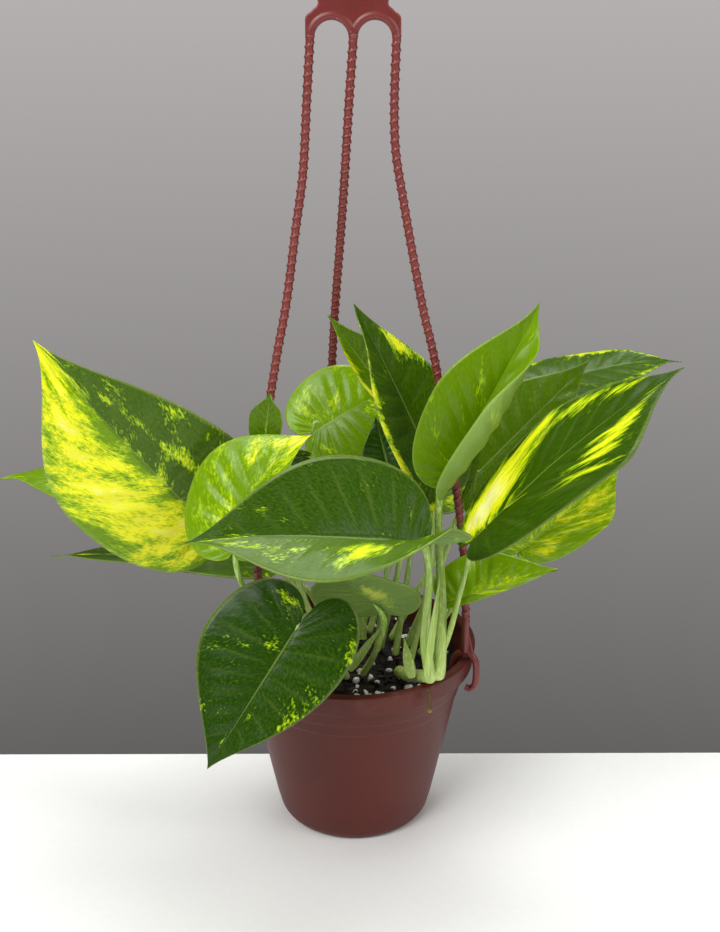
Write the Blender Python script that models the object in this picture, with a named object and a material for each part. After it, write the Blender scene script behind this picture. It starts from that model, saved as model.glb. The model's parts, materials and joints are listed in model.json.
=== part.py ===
"""Golden pothos in a small hanging pot: pot, soil, moulded hanger, vine stems, petioles and leaf blades.

The pot's axis is Z and the flat underside of its base is at Z = 0. Front is -Y, right is +X.
Places and sizes are written in millimetres and turned to metres where a mesh is made.
"""
import bpy
import bmesh
import numpy as np
from math import cos, pi, radians, sin

MM = 0.001
GAP = 0.4                      # clearance between pieces that touch on the real plant

# Pot
POT_HEIGHT = 101.8
BASE_RADIUS = 40.4             # where the straight wall would meet the ground
WALL_SLOPE = 0.206             # radius gained for each millimetre of height
WALL = 1.6
FLOOR = 2.0
RIM_RADIUS = 65.0
BAND_BOTTOM = 90.5
POT_SIDES = 48
DRAIN_HOLES = 4
DRAIN_RADIUS = 4.0
DRAIN_CIRCLE = 24.0

# Soil
SOIL_TOP = 87.5
SOIL_DOME = 1.5

# Hanger
STRAND_RADIUS = 2.1
STRAND_SPACING = 20.0
STRAND_TOP = 411.8
ARCH_CENTRE = 412.4
PLATE_HALF_THICKNESS = 1.4
SHOULDER_TOP = 434.0
HOOK_CENTRE = 462.0
HOOK_RADIUS = 12.0
HOOK_BAR = 7.0
CLIP_RADIUS = 1.6
ANCHORS = {"right": -21.0, "back": 102.0, "left": 220.0}

# Leaf blades
BLADE_THICKNESS = 0.8
BLADE_ROWS = 8

# Each blade: where the petiole meets it, its tip, which way its upper face looks, and for its left and
# right half the width, where that half is widest and how far its heart lobe reaches behind the petiole
# (both over the length), the upward fold at the midrib and how far it has turned over by its margin
# (degrees). arch and bow bend the midrib up and to the left, droop bends the tip down, roll turns the
# blade about its midrib at the base and at the tip, pinch folds each half up further round the petiole,
# and columns is the number of faces across each half.
BLADES = {
    "leaf_01": dict(base=(-71, -15, 170), tip=(-149, -45, 281), face=(-0.1, -0.9, 0.3), width=(49, 42),
                    widest=(0.4, 0.2), lobe=(0.1, 0.17), fold=(6, 10), curl=(-24, -16), arch=5, droop=3),
    "leaf_02": dict(base=(-58, -61, 180), tip=(-20, -47, 235), face=(-0.4, -0.8, 0.4), width=(31, 20),
                    widest=(0.33, 0.33), lobe=(0.08, 0.05), fold=(14, 10), curl=(-20, 10), arch=4, bow=8),
    "leaf_03": dict(base=(34, -64, 186), tip=(-77, -90, 198), face=(0.1, -0.5, 0.88), width=(36, 43),
                    widest=(0.4, 0.3), fold=(18, 20), curl=(-20, -10), arch=4, droop=4, roll=(30, 0),
                    pinch=(30, 30), lobe=(0.17, 0.04)),
    "leaf_04": dict(base=(-26, -72, 148), tip=(-71, -95, 81), face=(0.0, -0.9, 0.4), width=(32, 38),
                    widest=(0.12, 0.27), lobe=(0.27, 0.18), fold=(8, 8), curl=(-20, -20), arch=3),
    "leaf_05": dict(base=(-58, 14, 137), tip=(-162, 14, 144), face=(0.0, 0.2, 1.0), width=(27, 27),
                    fold=(8, 8), curl=(-16, -16), arch=3),
    "leaf_06": dict(base=(-118, 32, 168), tip=(-194, 45, 176), face=(0.0, -0.1, 1.0), width=(23, 23),
                    fold=(10, 10), curl=(-16, -16), arch=5, droop=2),
    "leaf_07": dict(base=(-43, -38, 228), tip=(-40, -38, 253), face=(-0.2, -0.9, 0.1), width=(9, 8),
                    widest=(0.45, 0.45), lobe=(0.1, 0.1), fold=(10, 10), curl=(-10, -10)),
    "leaf_08": dict(base=(-21, 12, 215), tip=(31, 33, 238), face=(-0.2, -0.9, 0.4), width=(27, 28),
                    fold=(6, 8), curl=(-20, -24), arch=4, droop=2),
    "leaf_09": dict(base=(42, 4, 195), tip=(0, 6, 285), face=(0.45, -0.85, 0.2), width=(30, 26),
                    fold=(36, 14), curl=(0, -10), arch=3),
    "leaf_10": dict(base=(20, 11, 232), tip=(-13, 14, 277), face=(-0.3, -0.7, 0.4), width=(7, 15),
                    lobe=(0.05, 0.03), fold=(20, 12), curl=(-10, -10), arch=2),
    "leaf_11": dict(base=(44, -26, 201), tip=(89, -22, 293), face=(0.1, -0.95, 0.1), width=(27, 27),
                    widest=(0.4, 0.45), lobe=(0.04, 0.06), fold=(6, 8), curl=(-24, 185), arch=3,
                    pinch=(6, 45)),
    "leaf_12": dict(base=(92, 57, 222), tip=(183, 80, 232), face=(0.0, -0.1, 1.0), width=(26, 30),
                    fold=(10, 10), curl=(-16, -16), arch=4, droop=2),
    "leaf_13": dict(base=(61, 14, 187), tip=(122, 26, 249), face=(0.2, -0.7, 0.6), width=(28, 26),
                    fold=(8, 8), curl=(-20, -20), arch=1, droop=-12),
    "leaf_14": dict(base=(57, -47, 179), tip=(148, -72, 276), face=(-0.5, -0.35, 0.8), width=(31, 28),
                    widest=(0.46, 0.66), lobe=(0.08, 0.04), fold=(4, 4), curl=(-14, -14), arch=4, droop=3,
                    roll=(0, 16)),
    "leaf_15": dict(base=(85, -8, 155), tip=(138, 2, 202), face=(0.3, -0.9, 0.5), width=(22, 19),
                    widest=(0.4, 0.62), lobe=(0.1, 0.0), fold=(8, 8), curl=(-10, -10), arch=4),
    "leaf_16": dict(base=(47, -40, 143), tip=(102, -40, 161), face=(0.0, -0.8, 0.55), width=(20, 4),
                    lobe=(0.1, 0.1), fold=(8, 8), curl=(-20, -20), arch=4, droop=2),
    "leaf_17": dict(base=(14, -40, 139), tip=(-12, -62, 170), face=(0.1, 0.7, 0.7), width=(27, 34),
                    fold=(8, 8), curl=(-12, -12), arch=2),
    "leaf_18": dict(base=(18, -2, 199), tip=(11, 4, 226), face=(0.0, -0.9, 0.3), width=(12, 9),
                    fold=(10, 10), curl=(-12, -12)),
    "leaf_19": dict(base=(-27, -38, 220.5), tip=(-69, -37, 220.5), face=(0.0, -0.8, 0.6), width=(5, 4),
                    fold=(10, 10), curl=(-12, -12), arch=2),
    "leaf_20": dict(base=(34, 14, 183), tip=(21, 16, 208), face=(0.2, -0.9, 0.2), width=(9, 9),
                    fold=(10, 10), curl=(-12, -12)),
    "leaf_21": dict(base=(-36, 44, 150), tip=(-66, 92, 130), face=(-0.1, 0.4, 1.0), width=(26, 26),
                    fold=(10, 10), curl=(-20, -20), arch=8),
    "leaf_22": dict(base=(44, 50, 158), tip=(84, 104, 142), face=(0.1, 0.4, 1.0), width=(24, 24),
                    fold=(10, 10), curl=(-20, -20), arch=8),
    "sheath_01": dict(base=(36, -58.5, 111), tip=(42, -60, 170), face=(0.0, -1.0, 0.1), width=(2.0, 1.8),
                      lobe=(0.02, 0.02), fold=(8, 8), columns=1),
    "sheath_02": dict(base=(29, -50, 106), tip=(25, -42, 124), face=(-0.3, -0.9, 0.1), width=(3.0, 3.0),
                      lobe=(0.05, 0.05), fold=(8, 8), columns=1),
    "sheath_03": dict(base=(-2, -33, 101), tip=(15, -27, 124), face=(-0.3, -0.9, 0.1), width=(2.2, 2.2),
                      lobe=(0.05, 0.05), fold=(8, 8), columns=1),
}
BLADE_DEFAULTS = dict(widest=(0.27, 0.27), lobe=(0.17, 0.17), curl=(0, 0), arch=0, bow=0, droop=0,
                      roll=(0, 0), pinch=(0, 0), columns=3)

# Each petiole: the points it passes, from the vine or the soil up; its last point comes from its blade.
PETIOLES = {
    "leaf_01": [(-8, -12, 91.5), (-20, -21, 134), (-31, -19, 145), (-58, -4, 159)],
    "leaf_02": [(-14, -20, 91.5), (-30, -40, 124), (-53, -56, 158)],
    "leaf_03": [(37, -53.5, 114), (35, -53, 130), (36, -59, 165)],
    "leaf_04": [(-4, -26, 91.5), (-12, -44, 130), (-20, -59, 146)],
    "leaf_05": [(-17, 4, 91.5), (-36, 10, 118)],
    "leaf_06": [(-14, 18, 91.5), (-50, 34, 138), (-90, 35, 160)],
    "leaf_07": [(-10, -16, 91.5), (-27, -29, 145), (-36, -34, 200)],
    "leaf_08": [(-4, 10, 91.5), (-13, 11, 150)],
    "leaf_09": [(30, -8, 91.5), (40, 2, 140)],
    "leaf_10": [(14, 6, 91.5), (25, 7, 150), (27, 7.5, 206)],
    "leaf_11": [(43, -50, 114), (43.5, -43, 146), (42, -30, 182)],
    "leaf_12": [(20, 17, 91.5), (53, 31, 152), (81, 50, 205)],
    "leaf_13": [(28, 8, 91.5), (47, 12, 140)],
    "leaf_14": [(38, -33, 91.5), (47, -47, 127), (52, -50, 152)],
    "leaf_15": [(35, 0, 91.5), (54, -4, 125), (74, -7, 148)],
    "leaf_16": [(40, -22, 91.5), (44, -30, 122)],
    "leaf_17": [(4, -22, 91.5), (10, -28, 106), (15, -37, 127)],
    "leaf_18": [(12, 2, 91.5), (18, 2, 150)],
    "leaf_19": [(-9, -27, 91.5), (-13, -21, 135), (-24, -34, 195)],
    "leaf_20": [(22, -2, 91.5), (29, 8, 140)],
    "leaf_21": [(-9, 25, 91.5), (-26, 36, 132)],
    "leaf_22": [(8, 24, 91.5), (24, 42, 136)],
}

# Each vine stem: the points it passes and its radius at its two ends.
STEMS = {
    "vine_front": ([(24, -20, 92), (28, -34, 98), (33, -44, 103), (36.5, -50, 106.2), (39, -52, 108.5),
                    (40.6, -52, 111.5)], (3.0, 3.3)),
    "vine_left": ([(-6, -4, 92), (-9, -5, 104), (-14, -9, 112)], (2.8, 2.4)),
    "vine_back": ([(4, 18, 92), (5, 20, 104), (9, 23, 113)], (2.8, 2.4)),
}

AERIAL_ROOT = [(37, -57.6, 103.5), (37.6, -58.6, 99), (37.8, -58.4, 94), (38.2, -58, 90)]
ROOT_RADII = (0.9, 0.6, 1.0)

PETIOLE_FOOT = 2.0
PETIOLE_TOP = 1.35


def material(name, colour, roughness):
    """A plain Principled material; the plant, the soil and the mouldings are all non-metal."""
    mat = bpy.data.materials.get(name)
    if mat is None:
        mat = bpy.data.materials.new(name)
        mat.use_nodes = True
        shader = mat.node_tree.nodes["Principled BSDF"]
        shader.inputs["Base Color"].default_value = (*colour, 1.0)
        shader.inputs["Roughness"].default_value = roughness
        shader.inputs["Metallic"].default_value = 0.0
    return mat


def add_object(name, data, mat):
    """Link a mesh or a curve to the scene under its node name."""
    obj = bpy.data.objects.new(name, data)
    bpy.context.scene.collection.objects.link(obj)
    data.materials.append(mat)
    return obj


def add_mesh(name, points, faces, mat, crease=40):
    """A mesh from points in millimetres, shaded smooth except across sharp corners."""
    mesh = bpy.data.meshes.new(name)
    mesh.from_pydata((np.asarray(points, float) * MM).tolist(), [], faces)
    mesh.shade_smooth()
    mesh.set_sharp_from_angle(angle=radians(crease))
    return add_object(name, mesh, mat)


def smooth_path(points, count):
    """Points along a Catmull-Rom curve through the given ones, evenly spread over its spans."""
    p = np.array(points, float)
    p = np.vstack([2 * p[0] - p[1], p, 2 * p[-1] - p[-2]])
    t = np.linspace(0, len(p) - 3, count)
    span = np.minimum(t.astype(int), len(p) - 4)
    u = (t - span)[:, None]
    a, b, c, d = (p[span + k] for k in range(4))
    return 0.5 * (2 * b + (c - a) * u + (2 * a - 5 * b + 4 * c - d) * u**2
                  + (3 * b - a - 3 * c + d) * u**3)


def tube(name, path, radii, mat, sides=6):
    """A round bar along a path, as a bevelled curve with filled ends; radii in millimetres."""
    curve = bpy.data.curves.new(name, "CURVE")
    curve.dimensions = "3D"
    curve.bevel_depth = MM
    curve.bevel_resolution = (sides - 4) // 2
    curve.use_fill_caps = True
    spline = curve.splines.new("POLY")
    spline.points.add(len(path) - 1)
    radii = np.interp(np.linspace(0, 1, len(path)), np.linspace(0, 1, len(radii)), radii)
    for point, place, radius in zip(spline.points, path, radii):
        point.co = (*(place * MM), 1.0)
        point.radius = radius
    return add_object(name, curve, mat)


def turned(name, profile, sides, mat):
    """A solid of revolution from (radius, height) points that start and end on the axis."""
    mesh = bpy.data.meshes.new(name)
    rows = [(r * MM, 0.0, z * MM) for r, z in profile]
    mesh.from_pydata(rows, [(i, i + 1) for i in range(len(rows) - 1)], [])
    obj = add_object(name, mesh, mat)
    screw = obj.modifiers.new("turn", "SCREW")
    screw.steps = sides
    screw.render_steps = sides
    screw.use_merge_vertices = True
    screw.merge_threshold = 0.00005
    screw.use_smooth_shade = True
    return obj


def arc(centre, radius, start, end, count):
    """Points of an arc in a plane, angles in degrees."""
    return [(centre[0] + radius * cos(a), centre[1] + radius * sin(a))
            for a in np.radians(np.linspace(start, end, count))]


def boolean(obj, tool, operation):
    """Join a hidden tool to an object, or cut it away, with the exact solver."""
    tool.hide_render = True
    tool.display_type = "WIRE"
    step = obj.modifiers.new(tool.name, "BOOLEAN")
    step.operation = operation
    step.object = tool
    step.solver = "EXACT"


def as_mesh(obj):
    """The same object with its curve and modifiers turned into a mesh."""
    graph = bpy.context.evaluated_depsgraph_get()
    mesh = bpy.data.meshes.new_from_object(obj.evaluated_get(graph))
    name, mat = obj.name, obj.data.materials[0]
    bpy.data.objects.remove(obj)
    if not mesh.materials:
        mesh.materials.append(mat)
    solid = bpy.data.objects.new(name, mesh)
    bpy.context.scene.collection.objects.link(solid)
    return solid


def wall_radius(z):
    """Outer radius of the pot's straight tapered wall at a height."""
    return BASE_RADIUS + WALL_SLOPE * z


def build_pot(plastic):
    """Thin tapered pot: rounded foot, two fine steps below a rim band that turns down like a skirt."""
    skirt = 1.5
    inner = [(0, FLOOR), (wall_radius(FLOOR) - 5.5, FLOOR), (wall_radius(4) - WALL - 1, 4.2),
             (wall_radius(9) - WALL, 9), (wall_radius(90) - WALL, 90), (59.4, 100.2), (60.4, POT_HEIGHT)]
    band = [(RIM_RADIUS - 1.2, POT_HEIGHT), (RIM_RADIUS, POT_HEIGHT - 1.2), (63.6, BAND_BOTTOM),
            (63.6 - skirt, BAND_BOTTOM), (63.3, 99.2), (61.6, 99.6), (60.7, 90.0)]
    steps = [(wall_radius(82) + 1.2, 82.0), (wall_radius(81.5) + 0.6, 81.5),
             (wall_radius(75) + 0.6, 75.2), (wall_radius(74.6), 74.7)]
    foot = [(wall_radius(8), 8.0), (wall_radius(3.5) - 0.7, 3.5), (wall_radius(1) - 2.2, 1.0),
            (wall_radius(0) - 4.4, 0.0), (0, 0)]
    pot = turned("pot", inner + band + steps + foot, POT_SIDES, plastic)
    for k in range(DRAIN_HOLES):
        angle = pi / 4 + k * 2 * pi / DRAIN_HOLES
        x, y = DRAIN_CIRCLE * cos(angle), DRAIN_CIRCLE * sin(angle)
        bpy.ops.mesh.primitive_cylinder_add(vertices=12, radius=DRAIN_RADIUS * MM, depth=12 * MM,
                                            location=(x * MM, y * MM, 1 * MM))
        drill = bpy.context.object
        drill.name = f"drain_drill_{k}"
        boolean(pot, drill, "DIFFERENCE")


def build_soil(earth):
    """The plug of potting mix, clear of the wall and floor all round, with a slightly domed top."""
    low, top = FLOOR + GAP, SOIL_TOP
    clear = WALL + GAP
    profile = [(0, top + SOIL_DOME), (25, top + SOIL_DOME * 0.8), (45, top + SOIL_DOME * 0.35),
               (wall_radius(top) - clear - 0.2, top), (wall_radius(10) - clear - 0.2, 10),
               (wall_radius(4) - clear - 2.2, 5.2), (wall_radius(low) - 7.5, low), (0, low)]
    turned("soil", profile, POT_SIDES, earth)


def plate(name, outline, half_thickness, mat):
    """A flat plate in the XZ plane with the given (x, z) outline, centred on Y = 0."""
    bm = bmesh.new()
    front = bm.faces.new([bm.verts.new((x * MM, -half_thickness * MM, z * MM)) for x, z in outline])
    side = bmesh.ops.extrude_face_region(bm, geom=[front])
    moved = [v for v in side["geom"] if isinstance(v, bmesh.types.BMVert)]
    bmesh.ops.translate(bm, vec=(0, 2 * half_thickness * MM, 0), verts=moved)
    bmesh.ops.recalc_face_normals(bm, faces=bm.faces)
    mesh = bpy.data.meshes.new(name)
    bm.to_mesh(mesh)
    bm.free()
    return add_object(name, mesh, mat)


def build_head(plastic):
    """Flat head: two round-beaded arches over the strands, notched shoulders, a neck and a hook."""
    half = STRAND_SPACING / 2
    edge = STRAND_SPACING + STRAND_RADIUS
    inside = half - STRAND_RADIUS
    right = [(edge, STRAND_TOP + GAP), (edge, 420.5)]
    right += arc((edge - 3.2, 420.5), 3.2, 15, 75, 3)
    right += arc((edge - 3.4, 428.0), 2.6, 250, 110, 7)
    right += [(edge, 431.2), (edge, SHOULDER_TOP)]
    right += arc((edge, SHOULDER_TOP + 13), 13, 250, 200, 4)
    left = [(-x, z) for x, z in right]
    inner, outer = HOOK_RADIUS - HOOK_BAR / 2, HOOK_RADIUS + HOOK_BAR / 2
    hook = arc((0, HOOK_CENTRE), outer, -60, 205, 18)
    hook += arc((0, HOOK_CENTRE), inner, 205, -68, 16)
    underside = []
    for centre in (-half, half):
        underside += [(centre - inside, STRAND_TOP + GAP)]
        underside += arc((centre, ARCH_CENTRE), inside, 180, 0, 9)
        underside += [(centre + inside, STRAND_TOP + GAP)]
    outline = right + hook + left[::-1] + underside
    head = plate("hanger_head", outline, PLATE_HALF_THICKNESS, plastic)
    for side, centre in (("left", -half), ("right", half)):
        rise = [(x, 0.0, z) for x, z in arc((centre, ARCH_CENTRE), half, 180, 0, 11)]
        foot = STRAND_TOP + GAP
        bead = [(centre - half, 0.0, foot), *rise, (centre + half, 0.0, foot)]
        bar = as_mesh(tube(f"arch_bead_{side}", np.array(bead), [STRAND_RADIUS], plastic, 8))
        boolean(head, bar, "UNION")


def clip_point(angle, radius, z):
    """A point given by its distance from the pot's axis, at an anchor's angle."""
    return radius * cos(radians(angle)), radius * sin(radians(angle)), z


STRANDS = {
    "right": [(20, 0, 411.8), (19.2, -0.5, 384), (20, -1.6, 361), (23.8, -3.3, 338), (28.2, -5.6, 314),
              (34.0, -8.3, 285), (40.4, -11, 258), (50, -15, 205), (56, -19, 160), (57.6, -21.5, 130)],
    "back": [(0, 0, 411.8), (-2.0, 1.5, 384), (-4.4, 8.3, 346), (-6.6, 15.9, 315), (-9.2, 24.9, 282),
             (-11.4, 34.7, 246), (-13.4, 46, 205), (-13.8, 56, 165), (-13, 60.2, 130)],
    "left": [(-20, 0, 411.8), (-21.8, -1, 384), (-23.8, -4.8, 352), (-27.6, -9.7, 325), (-32.2, -16.7, 292),
             (-37.4, -22.6, 265), (-43, -29, 230), (-47, -35, 190), (-48, -39, 155), (-47.6, -40, 130)],
}
CLIP = [(55.7, 93.5), (56.2, 99.5), (58.2, 103.2), (61.8, 104.8), (65.2, 104), (67.7, 101), (68.4, 96),
        (68.4, 90), (67.6, 86), (65.4, 83.8), (62.8, 84.4)]


def build_strand(side, plastic):
    """One hanging strand, ending in a webbed clip that passes over the rim and curls under its band."""
    angle = ANCHORS[side]
    path = [*STRANDS[side], clip_point(angle, 62, 118), clip_point(angle, 62, 105.5)]
    path = smooth_path(path, 26)
    strand = as_mesh(tube(f"hanger_strand_{side}", path, [STRAND_RADIUS], plastic, 8))
    bar = smooth_path([clip_point(angle, r, z) for r, z in CLIP], 20)
    clip = as_mesh(tube(f"clip_bar_{side}", bar, [CLIP_RADIUS], plastic, 8))
    boolean(strand, clip, "UNION")
    web = [(61.2, 121), (62.8, 121), (67.4, 103), (65, 104.2), (61.8, 105), (58.8, 103.4)]
    gusset = plate(f"clip_web_{side}", web, 0.9, plastic)
    gusset.rotation_euler.z = radians(angle)
    boolean(strand, gusset, "UNION")


def unit(v):
    v = np.asarray(v, float)
    return v / np.linalg.norm(v, axis=-1, keepdims=True)


def bezier(points, t):
    """A cubic Bezier curve in the plane at the parameters t."""
    a, b, c, d = (np.array(p, float) for p in points)
    t = t[:, None]
    return a * (1 - t)**3 + 3 * b * t * (1 - t)**2 + 3 * c * t**2 * (1 - t) + d * t**3


def blade_outline(s, widest, lobe):
    """Margin of one half of a heart-shaped blade, from the notch round the lobe to the tip.

    x runs along the midrib as a share of the length, y across as a share of the half width.
    """
    back = bezier([(-0.5 * lobe, 0.06), (-1.35 * lobe, 0.3), (-0.85 * lobe, 1.0), (widest, 1.0)],
                  np.clip(s / 0.4, 0, 1))
    shoulder = widest + 0.44 * (1 - widest)
    flank = bezier([(widest, 1.0), (shoulder, 1.0), (0.82, 0.14), (1.0, 0.0)],
                   np.clip((s - 0.4) / 0.6, 0, 1))
    return np.where(s[:, None] < 0.4, back, flank)


def blade_frame(leaf):
    """Directions along the chord, out of the upper face and to the left, at the middle of a blade."""
    along = unit(np.subtract(leaf["tip"], leaf["base"]))
    normal = unit(leaf["face"] - np.dot(leaf["face"], along) * along)
    return along, normal, np.cross(normal, along)


def blade_surface(leaf, rows, columns):
    """Points of a blade's upper face, as a grid of rows along side veins, from margin to margin.

    The midrib is base + chord * c + N * (4 arch c (1 - c) + droop (c - c^6)) + left * 4 bow c (1 - c),
    and runs straight on behind c = 0 under the lobes. Each half leaves it at the fold angle and turns
    over by the curl angle on its way to the margin, along a circular arc.
    """
    leaf = BLADE_DEFAULTS | leaf
    length = np.linalg.norm(np.subtract(leaf["tip"], leaf["base"]))
    along, normal, left = blade_frame(leaf)
    s = np.linspace(0, 1, rows + 1)
    v = np.linspace(1, -1, 2 * columns + 1)
    is_left = v > 0
    half_width = np.where(is_left, *leaf["width"])
    margins = [blade_outline(s, *shape) for shape in zip(leaf["widest"], leaf["lobe"])]
    edge_x = np.where(is_left, margins[0][:, :1], margins[1][:, :1])
    edge_y = np.where(is_left, margins[0][:, 1:], margins[1][:, 1:])
    midrib = s[:, None]**1.7
    c = midrib + (edge_x - midrib) * np.abs(v)
    reach = edge_y * half_width * np.abs(v)
    arch, bow, droop = leaf["arch"], leaf["bow"], leaf["droop"]
    ahead, behind = np.maximum(c, 0), np.minimum(c, 0)
    lift_slope = 4 * arch * (1 - 2 * ahead) + droop * (1 - 6 * ahead**5)
    bow_slope = 4 * bow * (1 - 2 * ahead)
    lift = 4 * arch * ahead * (1 - ahead) + droop * (ahead - ahead**6) + lift_slope * behind
    sway = 4 * bow * ahead * (1 - ahead) + bow_slope * behind
    centre = (np.array(leaf["base"], float) + along * (c * length)[..., None]
              + normal * lift[..., None] + left * sway[..., None])
    tangent = unit(along * length + normal * lift_slope[..., None] + left * bow_slope[..., None])
    up = unit(normal - tangent * (tangent @ normal)[..., None])
    across = np.cross(up, tangent)
    roll = np.radians(leaf["roll"][0] * (1 - ahead)**3 + leaf["roll"][1] * ahead**3)[..., None]
    across, up = across * np.cos(roll) + up * np.sin(roll), up * np.cos(roll) - across * np.sin(roll)
    out = across * np.sign(v)[None, :, None]
    pinch = np.where(is_left, *leaf["pinch"]) * (1 - ahead)**3
    fold = np.radians(np.where(is_left, *leaf["fold"]) + pinch)
    curl = np.radians(np.where(is_left, *leaf["curl"])) + 1e-6
    turn = curl / half_width
    sideways = (np.sin(fold + turn * reach) - np.sin(fold)) / turn
    upwards = (np.cos(fold) - np.cos(fold + turn * reach)) / turn
    return centre + out * sideways[..., None] + up * upwards[..., None]


def build_blade(name, leaf, mat):
    """One blade: its upper face as a grid that closes to a point at the tip, given its thickness."""
    columns = (BLADE_DEFAULTS | leaf)["columns"]
    grid = blade_surface(leaf, BLADE_ROWS, columns)
    across = grid.shape[1]
    points = np.vstack([grid[:-1].reshape(-1, 3), grid[-1, :1]])
    faces = [(r * across + k, (r + 1) * across + k, (r + 1) * across + k + 1, r * across + k + 1)
             for r in range(BLADE_ROWS - 1) for k in range(across - 1)]
    last = (BLADE_ROWS - 1) * across
    faces += [(last + k, len(points) - 1, last + k + 1) for k in range(across - 1)]
    blade = add_mesh(name, points, faces, mat)
    solid = blade.modifiers.new("thickness", "SOLIDIFY")
    solid.thickness = BLADE_THICKNESS * MM
    solid.offset = -1.0


def build_petiole(name, leaf, via, mat):
    """The leaf stalk, from the vine or the soil to just under the place where the blade begins."""
    _, normal, _ = blade_frame(leaf)
    end = leaf["base"] - normal * (BLADE_THICKNESS + GAP + PETIOLE_TOP)
    path = smooth_path([*via, end], 9)
    tube(name, path, [PETIOLE_FOOT, PETIOLE_TOP], mat, 6)


for old in list(bpy.data.objects):
    bpy.data.objects.remove(old)

red_brown = material("red_brown_plastic", (0.145, 0.028, 0.020), 0.45)
red_strand = material("red_hanger_plastic", (0.200, 0.040, 0.032), 0.42)
earth = material("potting_mix", (0.012, 0.009, 0.006), 0.95)
green = material("leaf_green", (0.045, 0.150, 0.018), 0.38)
pale_green = material("petiole_green", (0.300, 0.480, 0.110), 0.42)
root_brown = material("root_brown", (0.230, 0.140, 0.040), 0.7)

build_pot(red_brown)
build_soil(earth)
build_head(red_strand)
for side in STRANDS:
    build_strand(side, red_strand)
for name, blade in BLADES.items():
    build_blade(name, blade, green if name.startswith("leaf") else pale_green)
for name, via in PETIOLES.items():
    build_petiole(name.replace("leaf", "petiole"), BLADES[name], via, pale_green)
for name, (path, radii) in STEMS.items():
    tube(name, smooth_path(path, 9), radii, pale_green, 8)
tube("aerial_root", smooth_path(AERIAL_ROOT, 7), ROOT_RADII, root_brown, 6)
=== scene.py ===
"""Golden pothos in a small hanging pot: the looks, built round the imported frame.

Lengths are written in millimetres and become metres where a mesh is made. The pot's axis is Z, the
underside of its base is at Z = 0, and the front of the plant is -Y.
"""
import json

import bmesh
import bpy
import numpy as np
from mathutils import Matrix, Vector

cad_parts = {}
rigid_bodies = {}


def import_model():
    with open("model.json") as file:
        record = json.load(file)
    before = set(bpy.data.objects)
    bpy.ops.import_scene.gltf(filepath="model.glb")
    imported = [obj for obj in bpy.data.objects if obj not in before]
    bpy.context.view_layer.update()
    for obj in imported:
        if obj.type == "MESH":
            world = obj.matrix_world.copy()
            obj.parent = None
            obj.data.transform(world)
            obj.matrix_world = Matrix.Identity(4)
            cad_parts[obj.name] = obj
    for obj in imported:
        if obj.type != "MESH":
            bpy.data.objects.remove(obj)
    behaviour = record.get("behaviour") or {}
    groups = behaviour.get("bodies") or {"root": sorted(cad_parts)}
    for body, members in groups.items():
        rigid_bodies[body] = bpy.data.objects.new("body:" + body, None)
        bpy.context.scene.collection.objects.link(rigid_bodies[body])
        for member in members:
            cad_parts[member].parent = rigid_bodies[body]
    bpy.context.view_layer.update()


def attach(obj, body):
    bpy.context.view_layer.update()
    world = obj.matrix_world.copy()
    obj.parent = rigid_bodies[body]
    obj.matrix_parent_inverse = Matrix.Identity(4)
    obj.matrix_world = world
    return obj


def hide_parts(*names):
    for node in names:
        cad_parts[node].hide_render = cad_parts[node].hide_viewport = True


for old in list(bpy.data.objects):
    bpy.data.objects.remove(old)
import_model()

MM = 0.001

# ---- Pot ---------------------------------------------------------------------------------------------
# A thin injection-moulded polypropylene pot: tapered wall, rounded foot, a rim band that turns down like
# a skirt with two fine steps below it, and four drain holes in the floor. It is one turned profile.
POT_HEIGHT = 101.8
BASE_RADIUS = 40.4
WALL_SLOPE = 0.206
WALL = 1.6
RIM_RADIUS = 65.0
BAND_BOTTOM = 90.5
FLOOR = 2.0
CORNER_RADIUS = 1.1
DRAIN_RADIUS = 4.0
DRAIN_CIRCLE = 24.0
DRAIN_ANGLES = (45, 135, 225, 315)
POT_COLUMNS = 192


def unit(v):
    """Vectors of length one; a zero vector stays as it is."""
    v = np.asarray(v, float)
    return v / np.maximum(np.linalg.norm(v, axis=-1, keepdims=True), 1e-9)


def linear(code):
    """An sRGB hex colour as the linear RGBA that shaders take."""
    c = np.array([int(code[k:k + 2], 16) for k in (0, 2, 4)]) / 255
    return (*np.where(c <= 0.04045, c / 12.92, ((c + 0.055) / 1.055)**2.4).tolist(), 1.0)


def add_node(mat, kind, inputs=(), **settings):
    """Adds a shader node: settings are its properties, and each input is a value or a socket to link."""
    node = mat.node_tree.nodes.new(f"ShaderNode{kind}")
    for key, value in settings.items():
        setattr(node, key, value)
    for key, value in dict(inputs).items():
        if isinstance(value, bpy.types.NodeSocket):
            mat.node_tree.links.new(value, node.inputs[key])
        else:
            node.inputs[key].default_value = value
    return node


def new_finish(name, **values):
    """A Principled material and its shader; the values that don't vary are set on the shader's sockets."""
    mat = bpy.data.materials.new(name)
    mat.use_nodes = True
    shader = mat.node_tree.nodes["Principled BSDF"]
    for socket, value in values.items():
        shader.inputs[socket.replace("_", " ")].default_value = value
    return mat, shader


def clouded(name, scale, noise, dark, light, **values):
    """A finish whose colour drifts between two hues with noise of the given scale (lumps to the metre).
    Gives the material, its shader, the place on the piece, the noise and the colour."""
    mat, shader = new_finish(name, **values)
    place = add_node(mat, "TexCoord").outputs["Object"]
    cloud = add_node(mat, "TexNoise", {"Vector": place, "Scale": scale, **noise}).outputs["Fac"]
    tint = add_node(mat, "Mix", {0: cloud, 6: linear(dark), 7: linear(light)}, data_type="RGBA")
    return mat, shader, place, cloud, tint.outputs[2]


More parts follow.
